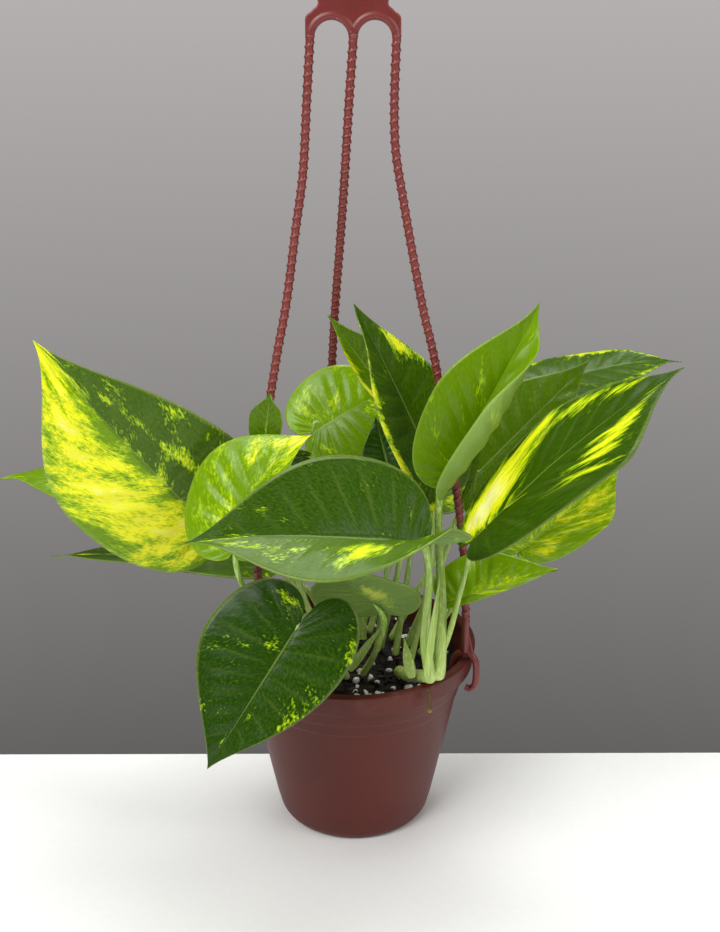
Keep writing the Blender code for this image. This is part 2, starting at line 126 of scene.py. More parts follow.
def coat(mat, shader, colour, relief, strength, depth):
    """Ends a finish: its colour, and a relief of up to depth millimetres that follows a pattern."""
    bump = add_node(mat, "Bump", {"Height": relief, "Strength": strength, "Distance": depth * MM})
    mat.node_tree.links.new(colour, shader.inputs["Base Color"])
    mat.node_tree.links.new(bump.outputs[0], shader.inputs["Normal"])


def grid_quads(rows, columns, wrap):
    """Faces of a grid of points, row after row; wrap joins the last column to the first."""
    index = np.arange(rows * columns).reshape(rows, columns)
    if wrap:
        index = np.hstack([index, index[:, :1]])
    corners = index[:-1, :-1], index[:-1, 1:], index[1:, 1:], index[1:, :-1]
    return np.stack(corners, -1).reshape(-1, 4).tolist()


def repeated(faces, points, count):
    """The faces of one shape repeated for count like shapes, each with the given number of points."""
    return np.vstack([np.array(faces) + points * k for k in range(count)]).tolist()


def make_mesh(name, points, faces, mats, weld=True):
    """A smooth mesh object from points in millimetres; weld closes the poles and seams of a grid."""
    mesh = bpy.data.meshes.new(name)
    mesh.from_pydata((np.reshape(points, (-1, 3)) * MM).tolist(), [], faces)
    if weld:
        bm = bmesh.new()
        bm.from_mesh(mesh)
        bmesh.ops.remove_doubles(bm, verts=bm.verts, dist=1e-6)
        bmesh.ops.recalc_face_normals(bm, faces=bm.faces)
        bm.to_mesh(mesh)
        bm.free()
    mesh.shade_smooth()
    for mat in mats:
        mesh.materials.append(mat)
    obj = bpy.data.objects.new(name, mesh)
    bpy.context.scene.collection.objects.link(obj)
    return obj


def bake_shape(obj):
    """Turns the object's modifiers into its mesh."""
    graph = bpy.context.evaluated_depsgraph_get()
    mesh = bpy.data.meshes.new_from_object(obj.evaluated_get(graph))
    obj.modifiers.clear()
    obj.data = mesh
    mesh.shade_smooth()


def settle(obj, slot, *nodes):
    """The piece rides on the plant's one body and stands for its CAD nodes, which it hides. The slot is not
    used.
    """
    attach(obj, "root")
    if nodes:
        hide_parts(*nodes)


def round_corners(points, radius, steps=5):
    """The open outline with each inner corner replaced by a quadratic Bezier that starts and ends radius
    away from it, or just under half way to its neighbour where that is nearer."""
    p = np.array(points, float)
    corner = p[1:-1, None]
    back, ahead = p[:-2, None] - corner, p[2:, None] - corner
    reach_back = np.minimum(radius, 0.45 * np.linalg.norm(back, axis=-1, keepdims=True))
    reach_ahead = np.minimum(radius, 0.45 * np.linalg.norm(ahead, axis=-1, keepdims=True))
    first, last = corner + unit(back) * reach_back, corner + unit(ahead) * reach_ahead
    t = np.linspace(0, 1, steps)[None, :, None]
    curve = first * (1 - t)**2 + 2 * corner * t * (1 - t) + last * t**2
    return np.vstack([p[:1], curve.reshape(-1, 2), p[-1:]])


def turned(profile, columns):
    """Points of a solid of revolution: each (radius, height) goes round the Z axis."""
    turn = np.linspace(0, 2 * np.pi, columns, endpoint=False)
    r, z = np.array(profile, float).T
    return np.stack([r[:, None] * np.cos(turn), r[:, None] * np.sin(turn),
                     np.broadcast_to(z[:, None], (len(r), columns))], -1)


def wall_radius(z):
    """Outer radius of the pot's straight wall at a height."""
    return BASE_RADIUS + WALL_SLOPE * z


# Moulded polypropylene, dyed brick brown: even colour, a soft satin gloss, a very fine spark-eroded grain
# (0.5 mm), and a little pale dust where potting mix has rubbed the rim.
pp_brown, shader, place, _, tint = clouded(
    "moulded_polypropylene_brown", 28.0, {"Detail": 3.0}, "4a150c", "612115",
    Roughness=0.46, IOR=1.49, Specular_IOR_Level=0.35)
height = add_node(pp_brown, "SeparateXYZ", {0: place}).outputs["Z"]
rim_zone = add_node(pp_brown, "MapRange", {"Value": height, "From Min": 86 * MM,
                                           "From Max": POT_HEIGHT * MM})
smudge = add_node(pp_brown, "TexNoise", {"Vector": place, "Scale": 120.0, "Detail": 5.0, "Roughness": 0.7})
smudge_edge = add_node(pp_brown, "MapRange", {"Value": smudge.outputs["Fac"], "From Min": 0.5,
                                              "From Max": 0.75, "To Max": 0.28})
dust = add_node(pp_brown, "Math", {0: rim_zone.outputs[0], 1: smudge_edge.outputs[0]}, operation="MULTIPLY")
dusty = add_node(pp_brown, "Mix", {0: dust.outputs[0], 6: tint, 7: linear("8a6052")}, data_type="RGBA")
grain = add_node(pp_brown, "TexNoise", {"Vector": place, "Scale": 1800.0, "Detail": 2.0})
coat(pp_brown, shader, dusty.outputs[2], grain.outputs["Fac"], 0.12, 0.2)

cavity = [(wall_radius(FLOOR) - 5.5, FLOOR), (wall_radius(4) - WALL - 1, 4.2), (wall_radius(9) - WALL, 9),
          (wall_radius(90) - WALL, 90), (59.4, 100.2), (60.2, POT_HEIGHT)]
band = [(RIM_RADIUS, POT_HEIGHT), (63.6, BAND_BOTTOM), (62.1, BAND_BOTTOM), (63.0, 99.4),
        (61.4, 99.6), (60.7, 90.0)]
steps = [(wall_radius(82) + 1.2, 82.0), (wall_radius(81.2) + 0.6, 81.2),
         (wall_radius(75) + 0.6, 75.2), (wall_radius(74.4), 74.4)]
foot = [(wall_radius(12), 12.0), (wall_radius(4) - 0.5, 4.0), (wall_radius(1) - 2.0, 1.0),
        (wall_radius(0) - 4.4, 0.0)]
profile = round_corners([(0, FLOOR), *cavity, *band, *steps, *foot, (0, 0)], CORNER_RADIUS)
pot = make_mesh("plastic_pot", turned(profile, POT_COLUMNS), grid_quads(len(profile), POT_COLUMNS, True),
                [pp_brown])
drill = turned([(0, -3), (DRAIN_RADIUS, -3), (DRAIN_RADIUS, 5), (0, 5)], 32)
spots = [(DRAIN_CIRCLE * np.cos(a), DRAIN_CIRCLE * np.sin(a), 0) for a in np.radians(DRAIN_ANGLES)]
cutter = make_mesh("drain_drills", [drill + spot for spot in spots],
                   repeated(grid_quads(4, 32, True), 4 * 32, len(spots)), [pp_brown])
cut = pot.modifiers.new("drain_holes", "BOOLEAN")
cut.object, cut.operation, cut.solver = cutter, "DIFFERENCE", "EXACT"
bake_shape(pot)
bpy.data.objects.remove(cutter)
pot.data.set_sharp_from_angle(angle=np.radians(50))
settle(pot, "pot_plastic", "pot")

# ---- Potting mix -------------------------------------------------------------------------------------
# Damp peat and composted bark, almost black, with white expanded perlite and bark crumbs lying on it.
# The plug is a turned profile whose top is roughened; the bits are small pebbles set into the top.
SOIL_TOP = 87.5
SOIL_DOME = 1.5
SOIL_RADIUS = 56.6
SOIL_RINGS = 95
SOIL_COLUMNS = 240


def lumps(x, y, size, seed):
    """Value noise in -1..1: random heights on a square lattice of the given size, smoothly joined."""
    lattice = np.random.RandomState(seed).uniform(-1, 1, (64, 64))
    u, v = np.asarray(x) / size + 31.7, np.asarray(y) / size + 17.3
    i, j = np.floor(u).astype(int), np.floor(v).astype(int)
    fu, fv = (w * w * (3 - 2 * w) for w in (u - i, v - j))
    corner = [lattice[(i + a) % 64, (j + b) % 64] for a in (0, 1) for b in (0, 1)]
    return ((corner[0] * (1 - fu) + corner[2] * fu) * (1 - fv)
            + (corner[1] * (1 - fu) + corner[3] * fu) * fv)


def soil_height(x, y):
    """Height of the mix: a low dome with lumps of 11, 4 and 1.6 mm."""
    r = np.hypot(x, y)
    dome = SOIL_DOME * (1 - (r / 56)**2)
    rough = 0.9 * lumps(x, y, 11, 1) + 0.6 * lumps(x, y, 4, 2) + 0.35 * lumps(x, y, 1.6, 3)
    return SOIL_TOP + dome + rough * np.clip((57 - r) / 3, 0, 1)


def pebbles(seed, count, sizes, flat, spread, rows=6, columns=7):
    """Small uneven pebbles on the mix: spheres whose radius swells with two random waves, squashed by
    flat, turned about Z, and sunk a third of their height into the top. spread gives (x, y) places."""
    rng = np.random.RandomState(seed)
    polar, around = np.meshgrid(np.linspace(0, np.pi, rows), np.arange(columns) * 2 * np.pi / columns,
                                indexing="ij")
    ball = np.stack([np.sin(polar) * np.cos(around), np.sin(polar) * np.sin(around), np.cos(polar)], -1)
    waves = rng.normal(size=(count, 2, 3)) * 1.6
    phase = np.einsum("rck,nwk->nwrc", ball, waves) + rng.uniform(0, 6, (count, 2, 1, 1))
    swell = 1 + 0.2 * np.sin(phase).sum(1)
    size = rng.uniform(*sizes, count)
    shape = ball * swell[..., None] * size[:, None, None, None] / 2
    shape = shape * np.stack([np.ones(count), rng.uniform(0.55, 0.9, count), np.full(count, flat)],
                             -1)[:, None, None]
    turn = rng.uniform(0, 2 * np.pi, count)[:, None, None]
    x, y = shape[..., 0], shape[..., 1]
    where = spread(rng, count)
    height = soil_height(*where.T) + size * flat * 0.17
    place = np.stack([x * np.cos(turn) - y * np.sin(turn) + where[:, 0, None, None],
                      x * np.sin(turn) + y * np.cos(turn) + where[:, 1, None, None],
                      shape[..., 2] + height[:, None, None]], -1)
    return place, repeated(grid_quads(rows, columns, True), rows * columns, count)


def all_over(rng, count):
    """Places spread evenly over the round top."""
    r, a = 54 * np.sqrt(rng.uniform(0, 1, count)), rng.uniform(0, 2 * np.pi, count)
    return np.stack([r * np.cos(a), r * np.sin(a)], -1)


def to_the_front(rng, count):
    """Places crowded in a band behind the front rim, where watering has washed the light grains."""
    r, a = 53 - 15 * rng.uniform(0, 1, count)**2, rng.normal(-np.pi / 2 + 0.05, 0.42, count)
    return np.stack([r * np.cos(a), r * np.sin(a)], -1)


# Peat and bark dust: near black because it is damp, dull, and crumbly at 2.4 mm and finer.
peat, shader, _, crumb, tint = clouded("damp_peat", 420.0, {"Detail": 6.0, "Roughness": 0.7},
                                       "080706", "251c17", Roughness=0.9, IOR=1.4)
coat(peat, shader, tint, crumb, 0.9, 1.2)

# Composted bark crumbs: dark red-brown, mottled at 1.7 mm and finer.
bark, shader, _, fibre, tint = clouded("bark_crumb", 600.0, {"Detail": 4.0}, "150d08", "3a2519",
                                       Roughness=0.85, IOR=1.4)
coat(bark, shader, tint, fibre, 0.7, 0.6)

# Perlite: expanded volcanic glass, chalk white, with pits 1.1 mm apart that a painted shade turns grey.
perlite, shader = new_finish("expanded_perlite", Roughness=0.8, IOR=1.5)
place = add_node(perlite, "TexCoord").outputs["Object"]
pits = add_node(perlite, "TexVoronoi", {"Vector": place, "Scale": 900.0})
# Painted shade: the pits, where the relief is lowest, are mixed towards grey.
tint = add_node(perlite, "Mix", {0: pits.outputs["Distance"], 6: linear("cbc8c0"), 7: linear("f4f2ee")},
                data_type="RGBA")
coat(perlite, shader, tint.outputs[2], pits.outputs["Distance"], 0.6, 0.5)

side = [(wall_radius(10) - WALL - 0.6, 10), (wall_radius(4) - WALL - 2.6, 5.2),
        (wall_radius(FLOOR) - 7.5, FLOOR + 0.4), (0, FLOOR + 0.4)]
plug = turned([*[(r, SOIL_TOP) for r in np.linspace(0, SOIL_RADIUS, SOIL_RINGS)], *side], SOIL_COLUMNS)
top = plug[:SOIL_RINGS]
top[..., 2] = soil_height(top[..., 0], top[..., 1])
soil = make_mesh("potting_mix", plug, grid_quads(len(plug), SOIL_COLUMNS, True), [peat])
settle(soil, "potting_mix", "soil")
for name, mat, grains in (
        ("bark_crumbs", bark, pebbles(5, 230, (2.0, 7.5), 0.35, all_over)),
        ("peat_crumbs", peat, pebbles(6, 420, (1.2, 3.2), 0.8, all_over)),
        ("perlite_grains", perlite, pebbles(7, 80, (2.2, 5.4), 0.7, all_over)),
        ("perlite_front", perlite, pebbles(8, 60, (3.0, 6.2), 0.75, to_the_front, 8, 10))):
    settle(make_mesh(name, *grains, [mat]), "potting_mix")

# ---- Hanger ------------------------------------------------------------------------------------------
# One polypropylene moulding in a redder brown: a flat head with a hook, two arches beaded like the
# strands, and three ribbed strands. Each strand ends in a webbed clip that bends over the rim.
STRAND_TOP = 411.8
STRAND_SPACING = 20.0
STRAND_RADIUS = 2.1
ARCH_CENTRE = 412.4
PLATE_HALF_THICKNESS = 1.4
SHOULDER_TOP = 434.0
BOSS_HEIGHT = 439.5
HOOK_CENTRE = 462.0
HOOK_RADIUS = 12.0
HOOK_BAR = 7.0
FOOT_CIRCLE = 62.0
CLIP_RADIUS = 1.8
WEB_HALF_THICKNESS = 0.9
RIB_PITCH = 4.4
RIB_CORE = 1.9
RIB_HEIGHT = 0.55
RIB_STEP = 0.3
VOXEL = 0.3
ANCHORS = {"right": -21.0, "back": 102.0, "left": 220.0}
STRANDS = {
    "right": [(20, 0, 411.8), (19.2, -0.5, 384), (20, -1.6, 361), (23.8, -3.3, 338), (28.2, -5.6, 314),
              (34.0, -8.3, 285), (40.4, -11, 258), (50, -15, 205), (56, -19, 160), (57.6, -21.5, 130)],
    "back": [(0, 0, 411.8), (-2.0, 1.5, 384), (-4.4, 8.3, 346), (-6.6, 15.9, 315), (-9.2, 24.9, 282),
             (-11.4, 34.7, 246), (-13.4, 46, 205), (-13.8, 56, 165), (-13, 60.2, 130)],
    "left": [(-20, 0, 411.8), (-21.8, -1, 384), (-23.8, -4.8, 352), (-27.6, -9.7, 325), (-32.2, -16.7, 292),
             (-37.4, -22.6, 265), (-43, -29, 230), (-47, -35, 190), (-48, -39, 155), (-47.6, -40, 130)],
}
CLIP = [(55.7, 93.5), (56.2, 99.5), (58.2, 103.2), (61.8, 104.8), (65.2, 104), (67.7, 101), (68.4, 96),
        (68.4, 90), (67.6, 86), (65.4, 83.8), (62.8, 84.4)]
WEB = [(61.2, 121), (62.8, 121), (67.4, 103), (65, 104.2), (61.8, 105), (58.8, 103.4)]


def smooth_path(points, count):
    """Points along a Catmull-Rom curve through the given ones, evenly spread over its spans."""
    p = np.array(points, float)
    p = np.vstack([2 * p[0] - p[1], p, 2 * p[-1] - p[-2]])
    t = np.linspace(0, len(p) - 3, count)
    span = np.minimum(t.astype(int), len(p) - 4)
    u = (t - span)[:, None]
    a, b, c, d = (p[span + k] for k in range(4))
    return 0.5 * (2 * b + (c - a) * u + (2 * a - 5 * b + 4 * c - d) * u**2
                  + (3 * b - a - 3 * c + d) * u**3)


def even_path(points, step):
    """The smooth path cut into equal steps of about the given length, with the distance along it."""
    fine = smooth_path(points, 60 * len(points))
    along = np.append(0, np.cumsum(np.linalg.norm(np.diff(fine, axis=0), axis=1)))
    mark = np.linspace(0, along[-1], int(along[-1] / step) + 2)
    return np.stack([np.interp(mark, along, fine[:, k]) for k in range(3)], -1), mark


def make_bar(name, mat, route, step, around, radius, across=(0, 1, 0)):
    """Rings carried along a route: each ring's first axis is across x direction and its second the
    direction x the first, so it stands square to the path; radius(distance, angle, length of the path)
    is how far the skin lies from the path. A ring shrunk to a point closes each end."""
    path, mark = even_path(route, step)
    forward = unit(np.gradient(path, axis=0))
    first = unit(np.cross(across, forward))
    second = np.cross(forward, first)
    angle = np.arange(around) * 2 * np.pi / around
    ring = first[:, None] * np.cos(angle)[:, None] + second[:, None] * np.sin(angle)[:, None]
    skin = path[:, None] + ring * radius(mark[:, None], angle[None], mark[-1])[..., None]
    ends = [np.broadcast_to(path[k], (1, around, 3)) for k in (0, -1)]
    points = np.concatenate([ends[0], skin, ends[1]])
    return make_mesh(name, points, grid_quads(*points.shape[:2], True), [mat])


def plain_skin(radius):
    """The skin of a plain round bar: the same radius everywhere."""
    return lambda s, a, length: np.full(np.broadcast(s, a).shape, radius)


def make_plate(name, outline, half_thickness, mat):
    """A flat plate in the XZ plane with the given (x, z) outline: the outline before and behind Y = 0,
    a face over each and a band of quads between them."""
    x, z = np.array(outline, float).T
    sides = [np.stack([x, np.full(len(x), y), z], -1) for y in (-half_thickness, half_thickness)]
    band_faces = grid_quads(2, len(x), True)
    caps = [list(range(len(x))), list(range(len(x), 2 * len(x)))]
    return make_mesh(name, np.stack(sides), band_faces + caps, [mat])


def arc(centre, radius, start, end, count):
    """Points of an arc in a plane, angles in degrees."""
    a = np.radians(np.linspace(start, end, count))
    return list(zip(centre[0] + radius * np.cos(a), centre[1] + radius * np.sin(a)))


def mould_together(obj, others):
    """Joins the other meshes to the first and moulds them into one skin: a voxel remesh of the lot,
    then a light smoothing that melts the inner corners."""
    bm = bmesh.new()
    for one in (obj, *others):
        bm.from_mesh(one.data)
    bm.to_mesh(obj.data)
    bm.free()
    for one in others:
        bpy.data.objects.remove(one)
    melt = obj.modifiers.new("mould", "REMESH")
    melt.mode, melt.voxel_size, melt.use_smooth_shade = "VOXEL", VOXEL * MM, True
    ease = obj.modifiers.new("ease", "SMOOTH")
    ease.factor, ease.iterations = 0.5, 4
    bake_shape(obj)


# The same polypropylene in a redder brown, glossier than the pot because its mould is polished. The crests
# of the ribs and the other sharp edges carry a painted highlight, paler the sharper they are, and a grain
# of 0.7 mm breaks up the gloss.
pp_red, shader, place, _, tint = clouded("moulded_polypropylene_red", 60.0, {"Detail": 3.0},
                                         "64231f", "7a2f2b", Roughness=0.36, IOR=1.49)
crest = add_node(pp_red, "NewGeometry").outputs["Pointiness"]
# Painted highlight: where the moulding is most pointed, on the rib crests and sharp edges, it is mixed
# towards pale pink.
crest_highlight = add_node(pp_red, "MapRange", {"Value": crest, "From Min": 0.5, "From Max": 0.6, "To Max": 0.55})
highlit_red = add_node(pp_red, "Mix", {0: crest_highlight.outputs[0], 6: tint, 7: linear("b5675e")}, data_type="RGBA")
grain = add_node(pp_red, "TexNoise", {"Vector": place, "Scale": 1500.0, "Detail": 2.0})
coat(pp_red, shader, highlit_red.outputs[2], grain.outputs["Fac"], 0.1, 0.2)

half = STRAND_SPACING / 2
edge = STRAND_SPACING + STRAND_RADIUS
inside = half - STRAND_RADIUS
right = [(edge, STRAND_TOP), (edge, 420.5), *arc((edge - 3.2, 420.5), 3.2, 15, 75, 8),
         *arc((edge - 3.4, 428.0), 2.6, 250, 110, 20), (edge, 431.2), (edge, SHOULDER_TOP),
         *arc((edge, SHOULDER_TOP + 13), 13, 250, 200, 12)]
left = [(-x, z) for x, z in right]
hook = [*arc((0, HOOK_CENTRE), HOOK_RADIUS + HOOK_BAR / 2, -60, 205, 60),
        *arc((0, HOOK_CENTRE), HOOK_RADIUS - HOOK_BAR / 2, 205, -68, 50)]
underside = [point for x in (-half, half)
             for point in ((x - inside, STRAND_TOP), *arc((x, ARCH_CENTRE), inside, 180, 0, 24),
                           (x + inside, STRAND_TOP))]
head = make_plate("hanger_head", right + hook + left[::-1] + underside, PLATE_HALF_THICKNESS, pp_red)
beads = []
for x in (-half, half):
    rise = [(u, 0.0, z) for u, z in arc((x, ARCH_CENTRE), half, 180, 0, 13)]
    legs = [(x - half, 0.0, STRAND_TOP), *rise, (x + half, 0.0, STRAND_TOP)]
    beads.append(make_bar("arch_bead", pp_red, legs, 0.5, 24, plain_skin(STRAND_RADIUS)))
button = turned([(0, 0), (4.6, 0), (5.2, 0.5), (5.2, 1.4), (4.4, 1.9), (0, 1.9)], 48)
boss = make_mesh("hook_boss", button, grid_quads(*button.shape[:2], True), [pp_red])
lift = Matrix.Translation((0, -0.8 * MM, BOSS_HEIGHT * MM))
boss.data.transform(lift @ Matrix.Rotation(np.pi / 2, 4, "X"))
mould_together(head, [*beads, boss])
settle(head, "hanger_plastic", "hanger_head")


def strand_skin(s, a, length):
    """The strand's radius: a round core with one rounded rib wound round it as a right-hand screw of the
    rib's pitch, fading out near both ends, and a smooth collar under the head."""
    phase = (s / RIB_PITCH - a / (2 * np.pi)) % 1
    rib = np.exp(-((phase - 0.5) / 0.13)**2)
    fade = np.clip((s - 12) / 10, 0, 1) * np.clip((length - 3 - s) / 3, 0, 1)
    collar = 0.25 * np.exp(-((s - length + 2.2) / 0.6)**2)
    return RIB_CORE + 0.1 * (1 - fade) + RIB_HEIGHT * rib * fade + collar


for side, points in STRANDS.items():
    angle = np.radians(ANCHORS[side])
    outward = np.array([np.cos(angle), np.sin(angle), 0])
    tangential = (-np.sin(angle), np.cos(angle), 0)
    lower = [outward * FOOT_CIRCLE + (0, 0, z) for z in (105.5, 118)]
    route = [*lower, *points[::-1], np.add(points[0], (0, 0, 1.5))]
    strand = make_bar(f"hanger_strand_{side}", pp_red, route, RIB_STEP, 24, strand_skin)
    settle(strand, "hanger_plastic", f"hanger_strand_{side}")
    ring = [outward * r + (0, 0, z) for r, z in CLIP]
    clip = make_bar(f"rim_clip_{side}", pp_red, ring, 0.4, 20, plain_skin(CLIP_RADIUS), tangential)
    ridge = make_bar("clip_ridge", pp_red, [*lower, outward * (FOOT_CIRCLE + 0.1) + (0, 0, 124)], 0.4, 20,
                     plain_skin(STRAND_RADIUS - 0.05))
    web = make_plate("clip_web", WEB, WEB_HALF_THICKNESS, pp_red)
    web.data.transform(Matrix.Rotation(angle, 4, "Z"))
    mould_together(clip, [ridge, web])
    settle(clip, "hanger_plastic")

# ---- Leaves ------------------------------------------------------------------------------------------
# Golden pothos blades: waxy, heart-shaped, a few tenths of a millimetre thick, with a sunken midrib and
# side veins that curve forward, so the blade is faintly quilted. Each is one skin with an upper side and
# a duller underside. Where the plant makes no chlorophyll the green turns lime, yellow, then cream.
BLADE_THICKNESS = 0.55
BLADE_ROWS = 90
BLADE_COLUMNS = 18
SIDE_VEINS = 12
# Each blade: where the petiole meets it, its tip, which way its upper face looks, and for its left and
# right half the width, where that half is widest and how far its heart lobe reaches behind the petiole
# (both over the length), the upward fold at the midrib and how far it has turned over by its margin
# (degrees). arch and bow bend the midrib up and to the left, droop bends the tip down, roll turns the
# blade about its midrib at the base and at the tip, and pinch folds each half up round the petiole.
BLADES = {
    "leaf_01": dict(base=(-71, -15, 170), tip=(-149, -45, 281), face=(-0.1, -0.9, 0.3), width=(49, 42),
                    widest=(0.4, 0.2), lobe=(0.1, 0.17), fold=(6, 10), curl=(-24, -16), arch=5, droop=3),
    "leaf_02": dict(base=(-58, -61, 180), tip=(-20, -47, 235), face=(-0.4, -0.8, 0.4), width=(31, 20),
                    widest=(0.33, 0.33), lobe=(0.08, 0.05), fold=(14, 10), curl=(-20, 10), arch=4, bow=8),
    "leaf_03": dict(base=(34, -64, 186), tip=(-77, -90, 198), face=(0.1, -0.5, 0.88), width=(36, 43),
                    widest=(0.4, 0.3), fold=(18, 20), curl=(-20, -10), arch=4, droop=4, roll=(30, 0),
                    pinch=(30, 30), lobe=(0.17, 0.04)),
    "leaf_04": dict(base=(-26, -72, 148), tip=(-71, -95, 81), face=(0.0, -0.9, 0.4), width=(32, 38),
                    widest=(0.12, 0.27), lobe=(0.27, 0.18), fold=(8, 8), curl=(-20, -20), arch=3),
    "leaf_05": dict(base=(-58, 14, 137), tip=(-162, 14, 144), face=(0.0, 0.2, 1.0), width=(27, 27),
                    fold=(8, 8), curl=(-16, -16), arch=3),
    "leaf_06": dict(base=(-118, 32, 168), tip=(-194, 45, 176), face=(0.0, -0.1, 1.0), width=(23, 23),
                    curl=(-16, -16), arch=5, droop=2),
    "leaf_07": dict(base=(-43, -38, 228), tip=(-40, -38, 253), face=(-0.2, -0.9, 0.1), width=(9, 8),
                    widest=(0.45, 0.45), lobe=(0.1, 0.1), curl=(-10, -10)),
    "leaf_08": dict(base=(-21, 12, 215), tip=(31, 33, 238), face=(-0.2, -0.9, 0.4), width=(27, 28),
                    fold=(6, 8), curl=(-20, -24), arch=4, droop=2),
    "leaf_09": dict(base=(42, 4, 195), tip=(0, 6, 285), face=(0.45, -0.85, 0.2), width=(30, 26),
                    fold=(36, 14), curl=(0, -10), arch=3),
    "leaf_10": dict(base=(20, 11, 232), tip=(-13, 14, 277), face=(-0.3, -0.7, 0.4), width=(7, 15),
                    lobe=(0.05, 0.03), fold=(20, 12), curl=(-10, -10), arch=2),
    "leaf_11": dict(base=(44, -26, 201), tip=(89, -22, 293), face=(0.1, -0.95, 0.1), width=(27, 27),
                    widest=(0.4, 0.45), lobe=(0.04, 0.06), fold=(6, 8), curl=(-24, 185), arch=3,
                    pinch=(6, 45)),
    "leaf_12": dict(base=(92, 57, 222), tip=(183, 80, 232), face=(0.0, -0.1, 1.0), width=(26, 30),
                    curl=(-16, -16), arch=4, droop=2),
    "leaf_13": dict(base=(61, 14, 187), tip=(122, 26, 249), face=(0.2, -0.7, 0.6), width=(28, 26),
                    fold=(8, 8), curl=(-20, -20), arch=1, droop=-12),
    "leaf_14": dict(base=(57, -47, 179), tip=(148, -72, 276), face=(-0.5, -0.35, 0.8), width=(31, 28),
                    widest=(0.46, 0.66), lobe=(0.08, 0.04), fold=(4, 4), curl=(-14, -14), arch=4, droop=3,
                    roll=(0, 16)),
    "leaf_15": dict(base=(85, -8, 155), tip=(138, 2, 202), face=(0.3, -0.9, 0.5), width=(22, 19),
                    widest=(0.4, 0.62), lobe=(0.1, 0.0), fold=(8, 8), curl=(-10, -10), arch=4),
    "leaf_16": dict(base=(47, -40, 143), tip=(102, -40, 161), face=(0.0, -0.8, 0.55), width=(20, 4),
                    lobe=(0.1, 0.1), fold=(8, 8), curl=(-20, -20), arch=4, droop=2),
    "leaf_17": dict(base=(14, -40, 139), tip=(-12, -62, 170), face=(0.1, 0.7, 0.7), width=(27, 34),
                    fold=(8, 8), curl=(-12, -12), arch=2),
    "leaf_18": dict(base=(18, -2, 199), tip=(11, 4, 226), face=(0.0, -0.9, 0.3), width=(12, 9),
                    curl=(-12, -12)),
    "leaf_19": dict(base=(-27, -38, 220.5), tip=(-69, -37, 220.5), face=(0.0, -0.8, 0.6), width=(5, 4),
                    curl=(-12, -12), arch=2),
    "leaf_20": dict(base=(34, 14, 183), tip=(21, 16, 208), face=(0.2, -0.9, 0.2), width=(9, 9),
                    curl=(-12, -12)),
    "leaf_21": dict(base=(-36, 44, 150), tip=(-66, 92, 130), face=(-0.1, 0.4, 1.0), width=(26, 26),
                    curl=(-20, -20), arch=8),
    "leaf_22": dict(base=(44, 50, 158), tip=(84, 104, 142), face=(0.1, 0.4, 1.0), width=(24, 24),
                    curl=(-20, -20), arch=8),
}
BLADE_DEFAULTS = dict(widest=(0.27, 0.27), lobe=(0.17, 0.17), fold=(10, 10), curl=(0, 0), arch=0, bow=0,
                      droop=0, roll=(0, 0), pinch=(0, 0))
